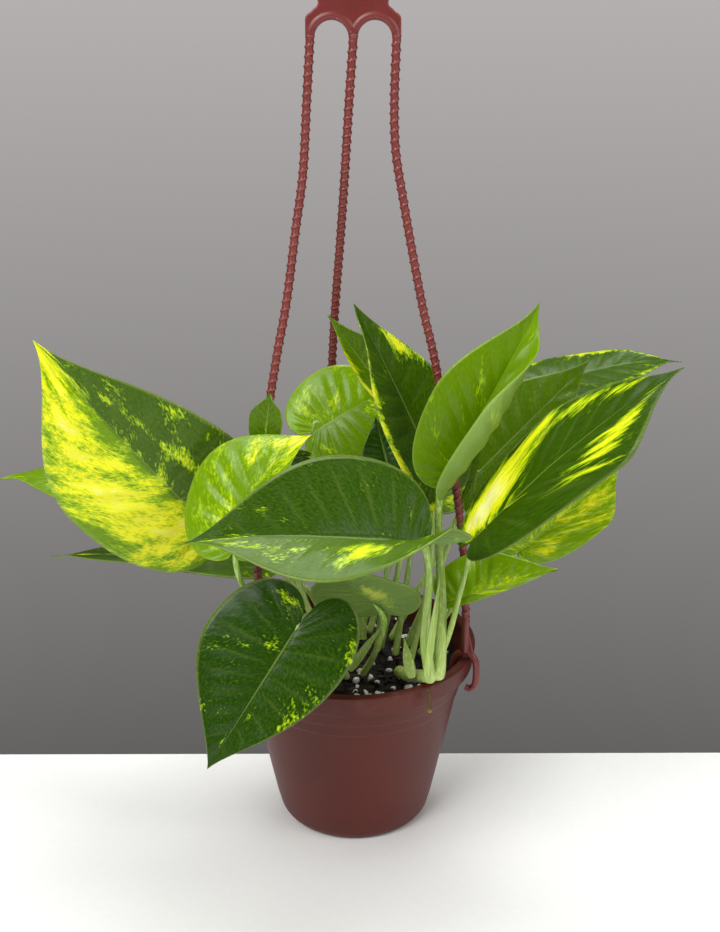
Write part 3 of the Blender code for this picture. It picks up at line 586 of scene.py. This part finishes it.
# Each blade's colouring: tone is how light its green is (left, right half), gold the share that has turned
# yellow, and each spot (v, s, reach over v, reach over s, strength) gathers more of it; v runs from 1 at
# the left margin to -1 at the right, s from 0 at the base to 1 at the tip. cream spots pale the yellow, and
# sweep is how far forward the streaks run on their way to the margin, over the length. The high tone on
# leaf_01, leaf_02 and leaf_15 is partly the blade's own light green and partly a painted glow of light
# shining through the thin blade.
COLOURING = {
    # leaf_01 and leaf_02: their high tone also paints the glow of light shining through them.
    "leaf_01": dict(tone=(0.75, 0.22), gold=0.16, cream=[(0.14, 0.24, 0.16, 0.2, 0.8)],
                    spots=[(0.42, 0.3, 0.46, 0.34, 0.46), (0.7, 0.72, 0.5, 0.3, 0.42),
                           (0, 1, 1.2, 0.12, 0.5), (-0.42, 0.45, 0.1, 0.22, 0.34),
                           (-0.7, 0.12, 0.25, 0.12, 0.22)]),
    "leaf_02": dict(tone=(0.8, 0.65), gold=0.26,
                    spots=[(0, 1, 1.5, 0.22, 0.36), (0.5, 0.5, 0.4, 0.3, 0.1)]),
    "leaf_03": dict(tone=(0.3, 0.1), gold=0.06,
                    spots=[(0.42, 0.42, 0.26, 0.13, 0.44), (0.5, 0.75, 0.3, 0.15, 0.28),
                           (0.1, 0.97, 0.4, 0.12, 0.4), (0.8, 0.2, 0.3, 0.2, 0.18)]),
    "leaf_04": dict(tone=(0.05, 0.03), gold=0.08,
                    spots=[(-0.6, 0.65, 0.35, 0.22, 0.12), (0.92, 0.5, 0.1, 0.4, 0.22),
                           (-0.6, 0.08, 0.3, 0.12, 0.16)]),
    "leaf_05": dict(tone=(0.2, 0.2), gold=0.12, spots=[(0, 0.85, 0.2, 0.3, 0.45)]),
    "leaf_06": dict(tone=(0.6, 0.6), gold=0.22, spots=[(0.5, 0.5, 0.4, 0.4, 0.1)]),
    "leaf_07": dict(tone=(0.35, 0.35), gold=0.05, spots=[(0, 0.45, 0.1, 0.4, 0.3)]),
    "leaf_08": dict(tone=(0.85, 0.6), gold=0.18,
                    spots=[(-0.5, 0.8, 0.4, 0.16, 0.42), (0.5, 0.4, 0.5, 0.4, 0.1)]),
    "leaf_09": dict(tone=(0.15, 0.15), gold=0.1,
                    spots=[(0.95, 0.4, 0.14, 0.45, 0.5), (-0.9, 0.75, 0.2, 0.14, 0.42)]),
    "leaf_10": dict(tone=(0.5, 0.4), gold=0.12, spots=[(0.95, 0.4, 0.2, 0.5, 0.4)]),
    "leaf_11": dict(tone=(0.62, 0.8), gold=0.12, spots=[(-0.6, 0.5, 0.4, 0.4, 0.12)]),
    "leaf_12": dict(tone=(0.15, 0.15), gold=0.14,
                    spots=[(0.95, 0.5, 0.1, 0.5, 0.3), (-0.95, 0.5, 0.1, 0.5, 0.3)]),
    "leaf_13": dict(tone=(0.3, 0.3), gold=0.05),
    "leaf_14": dict(tone=(0.12, 0.12), gold=0.03, sweep=0.3, cream=[(0.42, 0.25, 0.34, 0.18, 1.8)],
                    spots=[(0.42, 0.25, 0.42, 0.2, 0.95), (0.85, 0.6, 0.16, 0.35, 0.36),
                           (-0.6, 0.66, 0.22, 0.3, 0.56)]),
    # leaf_15: its full tone also paints the glow of light shining through the blade.
    "leaf_15": dict(tone=(1.0, 1.0), gold=0.36, cream=[(0.1, 0.5, 0.4, 0.4, 0.5)],
                    spots=[(0.4, 0.5, 0.4, 0.3, 0.14), (-0.5, 0.7, 0.3, 0.2, 0.2)]),
    "leaf_16": dict(tone=(1.0, 0.9), gold=0.22, spots=[(0, 0.7, 0.5, 0.4, 0.2)]),
    "leaf_17": dict(tone=(0.4, 0.4), gold=0.1, cream=[(0.2, 0.45, 0.2, 0.2, 0.8)],
                    spots=[(0.2, 0.45, 0.2, 0.2, 0.5)]),
    "leaf_18": dict(tone=(0, 0), gold=0.05),
    "leaf_19": dict(tone=(0.15, 0.15), gold=0.08),
    "leaf_20": dict(tone=(0, 0), gold=0.05),
    "leaf_21": dict(tone=(0.35, 0.3), gold=0.26, spots=[(0.4, 0.6, 0.3, 0.3, 0.2)]),
    "leaf_22": dict(tone=(0.3, 0.35), gold=0.24, spots=[(-0.5, 0.4, 0.3, 0.3, 0.22)]),
}


def bezier(points, t):
    """A cubic Bezier curve in the plane at the parameters t."""
    a, b, c, d = (np.array(p, float) for p in points)
    t = t[:, None]
    return a * (1 - t)**3 + 3 * b * t * (1 - t)**2 + 3 * c * t**2 * (1 - t) + d * t**3


def blade_outline(s, widest, lobe):
    """Margin of one half of a heart-shaped blade, from the notch round the lobe to the tip.

    x runs along the midrib as a share of the length, y across as a share of the half width.
    """
    back = bezier([(-0.5 * lobe, 0.06), (-1.35 * lobe, 0.3), (-0.85 * lobe, 1.0), (widest, 1.0)],
                  np.clip(s / 0.4, 0, 1))
    shoulder = widest + 0.44 * (1 - widest)
    flank = bezier([(widest, 1.0), (shoulder, 1.0), (0.82, 0.14), (1.0, 0.0)],
                   np.clip((s - 0.4) / 0.6, 0, 1))
    return np.where(s[:, None] < 0.4, back, flank)


def blade_frame(leaf):
    """Directions along the chord, out of the upper face and to the left, at the middle of a blade."""
    along = unit(np.subtract(leaf["tip"], leaf["base"]))
    normal = unit(leaf["face"] - np.dot(leaf["face"], along) * along)
    return along, normal, np.cross(normal, along)


def blade_surface(leaf, rows, columns):
    """Points of a blade's upper face, as a grid of rows along side veins, from margin to margin.

    The midrib is base + chord * c + N * (4 arch c (1 - c) + droop (c - c^6)) + left * 4 bow c (1 - c),
    and runs straight on behind c = 0 under the lobes. Each half leaves it at the fold angle and turns
    over by the curl angle on its way to the margin, along a circular arc.
    """
    leaf = BLADE_DEFAULTS | leaf
    length = np.linalg.norm(np.subtract(leaf["tip"], leaf["base"]))
    along, normal, left = blade_frame(leaf)
    s = np.linspace(0, 1, rows + 1)
    v = np.linspace(1, -1, 2 * columns + 1)
    is_left = v > 0
    half_width = np.where(is_left, *leaf["width"])
    margins = [blade_outline(s, *shape) for shape in zip(leaf["widest"], leaf["lobe"])]
    edge_x = np.where(is_left, margins[0][:, :1], margins[1][:, :1])
    edge_y = np.where(is_left, margins[0][:, 1:], margins[1][:, 1:])
    midrib = s[:, None]**1.7
    c = midrib + (edge_x - midrib) * np.abs(v)
    reach = edge_y * half_width * np.abs(v)
    arch, bow, droop = leaf["arch"], leaf["bow"], leaf["droop"]
    ahead, behind = np.maximum(c, 0), np.minimum(c, 0)
    lift_slope = 4 * arch * (1 - 2 * ahead) + droop * (1 - 6 * ahead**5)
    bow_slope = 4 * bow * (1 - 2 * ahead)
    lift = 4 * arch * ahead * (1 - ahead) + droop * (ahead - ahead**6) + lift_slope * behind
    sway = 4 * bow * ahead * (1 - ahead) + bow_slope * behind
    centre = (np.array(leaf["base"], float) + along * (c * length)[..., None]
              + normal * lift[..., None] + left * sway[..., None])
    tangent = unit(along * length + normal * lift_slope[..., None] + left * bow_slope[..., None])
    up = unit(normal - tangent * (tangent @ normal)[..., None])
    across = np.cross(up, tangent)
    roll = np.radians(leaf["roll"][0] * (1 - ahead)**3 + leaf["roll"][1] * ahead**3)[..., None]
    across, up = across * np.cos(roll) + up * np.sin(roll), up * np.cos(roll) - across * np.sin(roll)
    out = across * np.sign(v)[None, :, None]
    pinch = np.where(is_left, *leaf["pinch"]) * (1 - ahead)**3
    fold = np.radians(np.where(is_left, *leaf["fold"]) + pinch)
    curl = np.radians(np.where(is_left, *leaf["curl"])) + 1e-6
    turn = curl / half_width
    sideways = (np.sin(fold + turn * reach) - np.sin(fold)) / turn
    upwards = (np.cos(fold) - np.cos(fold + turn * reach)) / turn
    return centre + out * sideways[..., None] + up * upwards[..., None]


def gathered(spots, v, s):
    """Sum of soft round spots: strength x exp(-(dv/reach)^2 - (ds/reach)^2)."""
    total = np.zeros(np.broadcast(v, s).shape)
    for v0, s0, reach_v, reach_s, strength in spots:
        total += strength * np.exp(-((v - v0) / reach_v)**2 - ((s - s0) / reach_s)**2)
    return total


def with_tip(grid):
    """A blade's grid of values as a list, point after point, the last row shrunk to the one at the tip."""
    return np.vstack([grid[:-1].reshape(-1, grid.shape[2]), grid[-1, grid.shape[1] // 2]])


def make_blade(name, leaf, number, colouring, mats, rows=BLADE_ROWS, columns=BLADE_COLUMNS, relief=1.0):
    """A blade: the surface of blade_surface moved along its own normal by the relief, given its wall.
    The relief is a groove over the midrib, a quilting that follows the side veins (lines of equal s), a
    slow wave at the margins, and lumps 14 mm across. The map has U in millimetres across and V along, and
    the colouring goes into the attribute markings: red gold, green tone, blue cream, alpha vein and the
    painted highlight along the margin."""
    sheet = blade_surface(leaf, rows, columns)
    length = np.linalg.norm(np.subtract(leaf["tip"], leaf["base"]))
    s = np.linspace(0, 1, rows + 1)[:, None]
    v = np.linspace(1, -1, 2 * columns + 1)[None]
    half_width = np.where(v > 0, *leaf["width"])
    u = v * half_width + 0 * s
    normal = unit(np.cross(np.gradient(sheet, axis=1), np.gradient(sheet, axis=0)))
    vein_wave = np.cos(2 * np.pi * (SIDE_VEINS * s**0.9 + 0.15 * np.sign(v)))
    between = np.sin(np.pi * np.clip(np.abs(v) * 1.02, 0, 1))**1.2 * np.sin(np.pi * s)**0.4
    groove = -0.3 * np.exp(-(u / 0.8)**2) * (1 - s)**0.3
    bulge = 0.3 * vein_wave + 0.28 * np.clip(vein_wave, 0, 1)**6
    quilting = -relief * bulge * between * np.minimum(1, half_width / 20)
    wave = 0.9 * relief * np.abs(v)**3 * np.sin(2 * np.pi * (2.2 * s + 0.37 * number) + 1.3 * np.sign(v))
    soft = 0.35 * relief * lumps(u, s * length, 14, number + 40)
    taper = np.clip((1 - s) / 0.1, 0, 1)
    sheet = sheet + normal * (groove + (quilting + wave + soft) * taper)[..., None]
    across = 2 * columns + 1
    last = (rows - 1) * across + np.arange(across - 1)
    faces = grid_quads(rows, across, False)
    faces += np.stack([last, last + 1, np.full(across - 1, rows * across)], -1).tolist()
    obj = make_mesh(name, with_tip(sheet), faces, mats, weld=False)
    vein = np.clip(vein_wave - 0.86, 0, 0.14) / 0.14 * between * 0.12
    # Painted highlight: a thin pale line along the margin, which goes into alpha with the veins.
    margin = np.clip((np.abs(v) - 0.97) / 0.03, 0, 1) * np.ones_like(s)
    markings = [colouring["gold"] + gathered(colouring.get("spots", []), v, s),
                np.where(v > 0, *colouring["tone"]) + 0 * s,
                gathered(colouring.get("cream", []), v, s),
                np.maximum(vein, 0.4 * margin)]
    layer = obj.data.color_attributes.new("markings", "FLOAT_COLOR", "POINT")
    layer.data.foreach_set("color", with_tip(np.stack(markings, -1)).astype(np.float32).ravel())
    swept = (s - colouring.get("sweep", 0.12) * np.abs(v)) * length + 200 * number
    flat = with_tip(np.stack([u, swept], -1))
    corner = np.empty(len(obj.data.loops), int)
    obj.data.loops.foreach_get("vertex_index", corner)
    obj.data.uv_layers.new(name="blade_map").data.foreach_set("uv", flat[corner].astype(np.float32).ravel())
    wall = obj.modifiers.new("wall", "SOLIDIFY")
    wall.thickness, wall.offset = BLADE_THICKNESS * MM, -1.0
    wall.use_even_offset = False
    wall.material_offset, wall.material_offset_rim = 1, 0
    bake_shape(obj)
    return obj


def leaf_skin(name, dark, light, lime, yellow, cream, wash, **values):
    """The living leaf's colours. The share of gold in the attribute is broken up by noise stretched along
    the side veins: blotches 16 x 11 mm, streaks 6 x 2.6 mm and specks 1.8 x 1 mm. Past one threshold the
    green turns lime, past the next yellow and past the last cream, which the cream share strengthens. The
    midrib and the side veins are drawn paler, and a thin painted highlight runs along the margin. wash is
    how much grey-green covers it all."""
    mat, shader = new_finish(name, **values)
    marks = add_node(mat, "Attribute", attribute_name="markings")
    split = add_node(mat, "SeparateColor", {0: marks.outputs["Color"]})
    flat = add_node(mat, "UVMap", uv_map="blade_map").outputs[0]
    level = split.outputs[0]
    for across, along, share in ((16, 11, 1.1), (6, 2.6, 0.5), (1.8, 1.0, 0.65)):
        cells = add_node(mat, "Mapping", {"Vector": flat, "Scale": (1 / across, 1 / along, 1)})
        noise = add_node(mat, "TexNoise", {"Vector": cells.outputs[0], "Scale": 1.0, "Detail": 2.0,
                                           "Roughness": 0.55})
        centred = add_node(mat, "Math", {0: noise.outputs["Fac"], 1: 0.5}, operation="SUBTRACT")
        level = add_node(mat, "Math", {0: centred.outputs[0], 1: share, 2: level},
                         operation="MULTIPLY_ADD").outputs[0]
    tone = add_node(mat, "Math", {0: centred.outputs[0], 1: 0.5, 2: split.outputs[1]},
                    operation="MULTIPLY_ADD", use_clamp=True)
    colour = add_node(mat, "Mix", {0: tone.outputs[0], 6: linear(dark), 7: linear(light)},
                      data_type="RGBA").outputs[2]
    for low, high, hue in ((0.30, 0.46, lime), (0.44, 0.64, yellow), (0.72, 1.15, cream)):
        past = add_node(mat, "MapRange", {"Value": level, "From Min": low, "From Max": high})
        colour = add_node(mat, "Mix", {0: past.outputs[0], 6: colour, 7: linear(hue)},
                          data_type="RGBA").outputs[2]
    pale = add_node(mat, "Math", {0: past.outputs[0], 1: split.outputs[2]}, operation="MULTIPLY",
                    use_clamp=True)
    colour = add_node(mat, "Mix", {0: pale.outputs[0], 6: colour, 7: linear(cream)},
                      data_type="RGBA").outputs[2]
    beside = add_node(mat, "SeparateXYZ", {0: flat}).outputs[0]
    off_rib = add_node(mat, "Math", {0: beside}, operation="ABSOLUTE")
    rib = add_node(mat, "MapRange", {"Value": off_rib.outputs[0], "From Min": 0.7, "From Max": 0.25,
                                     "To Max": 0.35})
    lines = add_node(mat, "Math", {0: rib.outputs[0], 1: marks.outputs["Alpha"]},
                     operation="MAXIMUM")
    light_lines = add_node(mat, "Math", {0: lines.outputs[0], 1: 0.75}, operation="MULTIPLY")
    colour = add_node(mat, "Mix", {0: light_lines.outputs[0], 6: colour, 7: linear("a9bd5e")},
                      data_type="RGBA").outputs[2]
    colour = add_node(mat, "Mix", {0: wash, 6: colour, 7: linear("93ad62")},
                      data_type="RGBA").outputs[2]
    cells = add_node(mat, "Mapping", {"Vector": flat, "Scale": (1 / 16, 1 / 1.3, 1)})
    fine = add_node(mat, "TexNoise", {"Vector": cells.outputs[0], "Scale": 1.0, "Detail": 1.0})
    coat(mat, shader, colour, fine.outputs["Fac"], 0.3, 0.3)
    return mat


# Upper skin: a waxy cuticle, so a satin gloss that breaks up over the fine veins. Underside: no gloss,
# paler, its colours seen through a grey-green bloom.
upper_skin = leaf_skin("waxy_upper_skin", "1b3c00", "7ba400", "9abf08", "eff01c", "f9f6a4", 0.0,
                       Roughness=0.29, IOR=1.45, Specular_IOR_Level=0.28)
under_skin = leaf_skin("matt_under_skin", "466a2a", "86a83a", "9dbb3c", "d5d94e", "e9e9b4", 0.25,
                       Roughness=0.5, IOR=1.4)
for number, (name, leaf) in enumerate(BLADES.items(), 1):
    blade = make_blade(f"{name}_blade", leaf, number, COLOURING[name], [upper_skin, under_skin])
    settle(blade, "leaf_blade", name)

# ---- Petioles, sheaths and vines ---------------------------------------------------------------------
# The juicy stalks that carry the blades: pale green, faintly lined along, grooved on top, a little
# swollen at the joint under the blade, and run out into the midrib below it. They rise from short jointed
# vines whose old leaf scars are raised rings; a papery sheath wraps the foot of a young stalk.
PETIOLES = {
    "leaf_01": [(-8, -12, 91.5), (-20, -21, 134), (-31, -19, 145), (-58, -4, 159)],
    "leaf_02": [(-14, -20, 91.5), (-30, -40, 124), (-53, -56, 158)],
    "leaf_03": [(37, -53.5, 114), (35, -53, 130), (36, -59, 165)],
    "leaf_04": [(-4, -26, 91.5), (-12, -44, 130), (-20, -59, 146)],
    "leaf_05": [(-17, 4, 91.5), (-36, 10, 118)],
    "leaf_06": [(-14, 18, 91.5), (-50, 34, 138), (-90, 35, 160)],
    "leaf_07": [(-10, -16, 91.5), (-27, -29, 145), (-36, -34, 200)],
    "leaf_08": [(-4, 10, 91.5), (-13, 11, 150)],
    "leaf_09": [(30, -8, 91.5), (40, 2, 140)],
    "leaf_10": [(14, 6, 91.5), (25, 7, 150), (27, 7.5, 206)],
    "leaf_11": [(43, -50, 114), (43.5, -43, 146), (42, -30, 182)],
    "leaf_12": [(20, 17, 91.5), (53, 31, 152), (81, 50, 205)],
    "leaf_13": [(28, 8, 91.5), (47, 12, 140)],
    "leaf_14": [(38, -33, 91.5), (47, -47, 127), (52, -50, 152)],
    "leaf_15": [(35, 0, 91.5), (54, -4, 125), (74, -7, 148)],
    "leaf_16": [(40, -22, 91.5), (44, -30, 122)],
    "leaf_17": [(4, -22, 91.5), (10, -28, 106), (15, -37, 127)],
    "leaf_18": [(12, 2, 91.5), (18, 2, 150)],
    "leaf_19": [(-9, -27, 91.5), (-13, -21, 135), (-24, -34, 195)],
    "leaf_20": [(22, -2, 91.5), (29, 8, 140)],
    "leaf_21": [(-9, 25, 91.5), (-26, 36, 132)],
    "leaf_22": [(8, 24, 91.5), (24, 42, 136)],
}

STEMS = {
    "vine_front": ([(24, -20, 92), (28, -34, 98), (33, -44, 103), (36.5, -50, 106.2), (39, -52, 108.5),
                    (40.6, -52, 111.5)], (3.0, 3.3)),
    "vine_left": ([(-6, -4, 92), (-9, -5, 104), (-14, -9, 112)], (2.8, 2.4)),
    "vine_back": ([(4, 18, 92), (5, 20, 104), (9, 23, 113)], (2.8, 2.4)),
}

# Each stalk's radius at its foot and under its blade. The two that spring from the front vine's joint are
# stouter and start lower, in the joint.
STALK_RADII = {"leaf_03": (3.3, 1.8), "leaf_11": (3.5, 1.9)}
PLAIN_RADII = (2.0, 1.3)
JOINT_FEET = {"leaf_03": [(38.4, -54.0, 104.6)], "leaf_11": [(41.4, -52.2, 105.0)]}
SHEATHS = {
    "sheath_01": dict(base=(36, -58.5, 111), tip=(42, -60, 170), face=(0.0, -1.0, 0.1), width=(2.0, 1.8),
                      lobe=(0.02, 0.02), fold=(8, 8)),
    "sheath_02": dict(base=(29, -50, 106), tip=(25, -42, 124), face=(-0.3, -0.9, 0.1), width=(3.0, 3.0),
                      lobe=(0.05, 0.05), fold=(8, 8)),
    "sheath_03": dict(base=(-2, -33, 101), tip=(15, -27, 124), face=(-0.3, -0.9, 0.1), width=(2.2, 2.2),
                      lobe=(0.05, 0.05), fold=(8, 8)),
}


# Stalk skin: like the leaf's, but paler, with raised lines 0.8 mm apart along the stalk that carry painted
# highlights, and whitish at the foot.
stalk_skin, shader = new_finish("stalk_skin", Roughness=0.3, IOR=1.43)
place = add_node(stalk_skin, "TexCoord").outputs["Object"]
ripe = add_node(stalk_skin, "Attribute", attribute_name="ripeness").outputs["Fac"]
long_cells = add_node(stalk_skin, "Mapping", {"Vector": place, "Scale": (1200, 1200, 60)})
lines = add_node(stalk_skin, "TexNoise", {"Vector": long_cells.outputs[0], "Scale": 1.0, "Detail": 3.0})
mottle = add_node(stalk_skin, "TexNoise", {"Vector": place, "Scale": 90.0, "Detail": 2.0})
mixed = add_node(stalk_skin, "Math", {0: mottle.outputs["Fac"], 1: 0.6, 2: ripe},
                 operation="MULTIPLY_ADD")
greener = add_node(stalk_skin, "MapRange", {"Value": mixed.outputs[0], "From Min": 0.2, "From Max": 1.2})
tint = add_node(stalk_skin, "Mix", {0: greener.outputs[0], 6: linear("b2cc66"), 7: linear("7ca923")},
                data_type="RGBA")
# Painted highlight: pale streaks laid along the stalk's raised lines.
highlight_streak = add_node(stalk_skin, "MapRange", {"Value": lines.outputs["Fac"], "From Min": 0.45,
                                           "From Max": 0.68, "To Max": 0.6})
highlit_stalk = add_node(stalk_skin, "Mix", {0: highlight_streak.outputs[0], 6: tint.outputs[2], 7: linear("dfeab0")},
                 data_type="RGBA")
coat(stalk_skin, shader, highlit_stalk.outputs[2], lines.outputs["Fac"], 0.4, 0.3)


def ripen(obj, low, high):
    """The attribute ripeness rises with height from low to high, so a stalk greens towards its blade."""
    z = np.empty(3 * len(obj.data.vertices))
    obj.data.vertices.foreach_get("co", z)
    z = z[2::3]
    share = (z - z.min()) / (z.max() - z.min())
    layer = obj.data.attributes.new("ripeness", "FLOAT", "POINT")
    layer.data.foreach_set("value", (low + (high - low) * share).astype(np.float32))


def petiole_skin(foot, top):
    """Radius of a stalk: it is rounded off at its foot, thins to the top, swells under the blade, carries
    a shallow groove down one side and tapers away where it becomes the midrib."""
    def radius(s, a, length):
        plain = top + (foot - top) * (1 - s / length)**1.6
        plain = plain * np.sqrt(np.clip(1 - (1 - np.clip(s / foot, 0, 1))**2, 0.02, 1))
        joint = 0.3 * np.exp(-((s - length + 12) / 5)**2)
        groove = 0.16 * np.exp(-((a - np.pi) / 0.45)**2)
        taper = np.clip((length - s + 0.6) / 9, 0.05, 1)**0.6
        return (plain + joint) * (1 - groove) * taper
    return radius


for name, via in PETIOLES.items():
    leaf = BLADES[name]
    along, normal, _ = blade_frame(leaf)
    foot, top = STALK_RADII.get(name, PLAIN_RADII)
    under = leaf["base"] - normal * (BLADE_THICKNESS + top + 0.3)
    run_out = leaf["base"] + along * 8 + normal * (4 * leaf.get("arch", 0) * 0.06 - BLADE_THICKNESS - 0.25)
    route = [*JOINT_FEET.get(name, []), *via, under, run_out]
    node = name.replace("leaf", "petiole")
    stalk = make_bar(f"{node}_stalk", stalk_skin, route, 0.8, 20, petiole_skin(foot, top))
    ripen(stalk, 0.0, 0.8)
    settle(stalk, "petiole", node)

plain_green = dict(tone=(0.9, 0.9), gold=0.1)
for number, (name, leaf) in enumerate(SHEATHS.items(), 60):
    wrap = make_blade(f"{name}_wrap", leaf, number, plain_green, [stalk_skin, stalk_skin], 40, 5, 0.1)
    ripen(wrap, 0.1, 0.5)
    settle(wrap, "petiole", name)


def vine_skin(start, end):
    """Radius of a vine: it runs from one end's radius to the other's, with a rounded lip at its top and
    raised scar rings 6 mm apart."""
    def radius(s, a, length):
        plain = start + (end - start) * s / length
        scar = 0.25 * np.exp(-(((s + 3) % 6 - 3) / 0.45)**2)
        lip = np.sqrt(np.clip(1 - np.clip(1 - (length - s) / 1.4, 0, 1)**2, 0.02, 1))
        return (plain + scar) * lip + 0 * a
    return radius


for name, (path, radii) in STEMS.items():
    vine = make_bar(f"{name}_stem", stalk_skin, path, 0.4, 28, vine_skin(*radii), (1, 0, 0))
    ripen(vine, 0.0, 0.3)
    settle(vine, "petiole", name)

# ---- Aerial root -------------------------------------------------------------------------------------
# A stubby brown root from the vine's joint, corky and ringed, with a paler growing tip.
AERIAL_ROOT = [(37, -57.6, 103.5), (37.6, -58.6, 99), (37.8, -58.4, 94), (38.2, -58, 90)]

# Cork: matt brown with cracks about 0.8 mm across; the tip, lower down, is ochre.
cork, shader, place, cracks, tint = clouded("root_cork", 1300.0, {"Detail": 4.0}, "33220f", "6d5230",
                                            Roughness=0.75, IOR=1.4)
height = add_node(cork, "SeparateXYZ", {0: place}).outputs["Z"]
tip_zone = add_node(cork, "MapRange", {"Value": height, "From Min": 93 * MM, "From Max": 90 * MM})
tipped = add_node(cork, "Mix", {0: tip_zone.outputs[0], 6: tint, 7: linear("a58a45")}, data_type="RGBA")
coat(cork, shader, tipped.outputs[2], cracks, 0.8, 0.3)


def root_skin(s, a, length):
    """Radius of the root: thinnest in the middle, uneven by 0.1 mm, rounded off over its last 1 mm."""
    plain = np.interp(s, [0, 7, 14], [1.25, 0.85, 1.25]) + 0.1 * np.sin(3 * a + s) * np.sin(1.9 * s)
    return plain * np.sqrt(np.clip((13.9 - s) / 1.2, 0.03, 1))


root = make_bar("aerial_root_cork", cork, AERIAL_ROOT, 0.25, 16, root_skin)
settle(root, "root", "aerial_root")

# ---- Table, light and camera -------------------------------------------------------------------------
# The pot stands on a white laminate table whose far edge is just behind it, in a grey room that is
# lighter towards the top. Three soft boxes light it: one from the left, one weaker from the right and
# one from above and behind.
TABLE_SIDE = 900
TABLE_FRONT = 1100
TABLE_BACK = 46
MIDDLE = Vector((0, 0, 0.2))

# Melamine laminate: a hard, even, nearly white sheet with a faint mottle of 3 mm in its print.
table_white, shader, _, _, tint = clouded("white_laminate", 300.0, {"Detail": 2.0}, "f0f0ee", "f6f6f4",
                                          Roughness=0.5)
table_white.node_tree.links.new(tint, shader.inputs["Base Color"])
corners = [(-TABLE_SIDE, -TABLE_FRONT, 0), (TABLE_SIDE, -TABLE_FRONT, 0), (TABLE_SIDE, TABLE_BACK, 0),
           (-TABLE_SIDE, TABLE_BACK, 0)]
table = make_mesh("table_top", corners, [[0, 1, 2, 3]], [table_white], weld=False)

# The room's grey is seen in full by the camera and lights the plant at 0.3 of that, so that the boxes
# shape the leaves.
room = bpy.data.worlds.new("grey_room")
room.use_nodes = True
bpy.context.scene.world = room
direction = add_node(room, "TexCoord").outputs["Generated"]
up = add_node(room, "SeparateXYZ", {0: direction}).outputs["Z"]
rise = add_node(room, "MapRange", {"Value": up, "From Min": -0.55, "From Max": -0.05})
wall_grey = add_node(room, "Mix", {0: rise.outputs[0], 6: linear("5e5b5b"), 7: linear("b4b1b0")},
                     data_type="RGBA")
glow = room.node_tree.nodes["Background"]
room.node_tree.links.new(wall_grey.outputs[2], glow.inputs["Color"])
seen = add_node(room, "LightPath").outputs["Is Camera Ray"]
dimmed = add_node(room, "MapRange", {"Value": seen, "To Min": 0.3, "To Max": 1.0})
room.node_tree.links.new(dimmed.outputs[0], glow.inputs["Strength"])

for name, place, size, power in (
        ("key_box", (-0.7, -0.9, 1.25), 0.9, 21.0),
        ("fill_box", (1.0, -0.7, 0.8), 0.9, 7.0),
        ("top_box", (0.1, 0.5, 1.5), 1.0, 17.0)):
    light = bpy.data.lights.new(name, "AREA")
    light.energy, light.size, light.shape = power, size, "SQUARE"
    lamp = bpy.data.objects.new(name, light)
    bpy.context.scene.collection.objects.link(lamp)
    lamp.location = place
    lamp.rotation_euler = (MIDDLE - Vector(place)).to_track_quat("-Z", "Y").to_euler()

camera = bpy.data.objects.new("camera", bpy.data.cameras.new("camera"))
bpy.context.scene.collection.objects.link(camera)
camera.data.lens = 56.0
camera.data.sensor_width = 36.0
camera.location = (0, -0.694, 0.470)
camera.rotation_euler = (np.radians(90 - 21.2), 0, -0.0045)
bpy.context.scene.camera = camera
bpy.context.scene.view_settings.view_transform = "Standard"
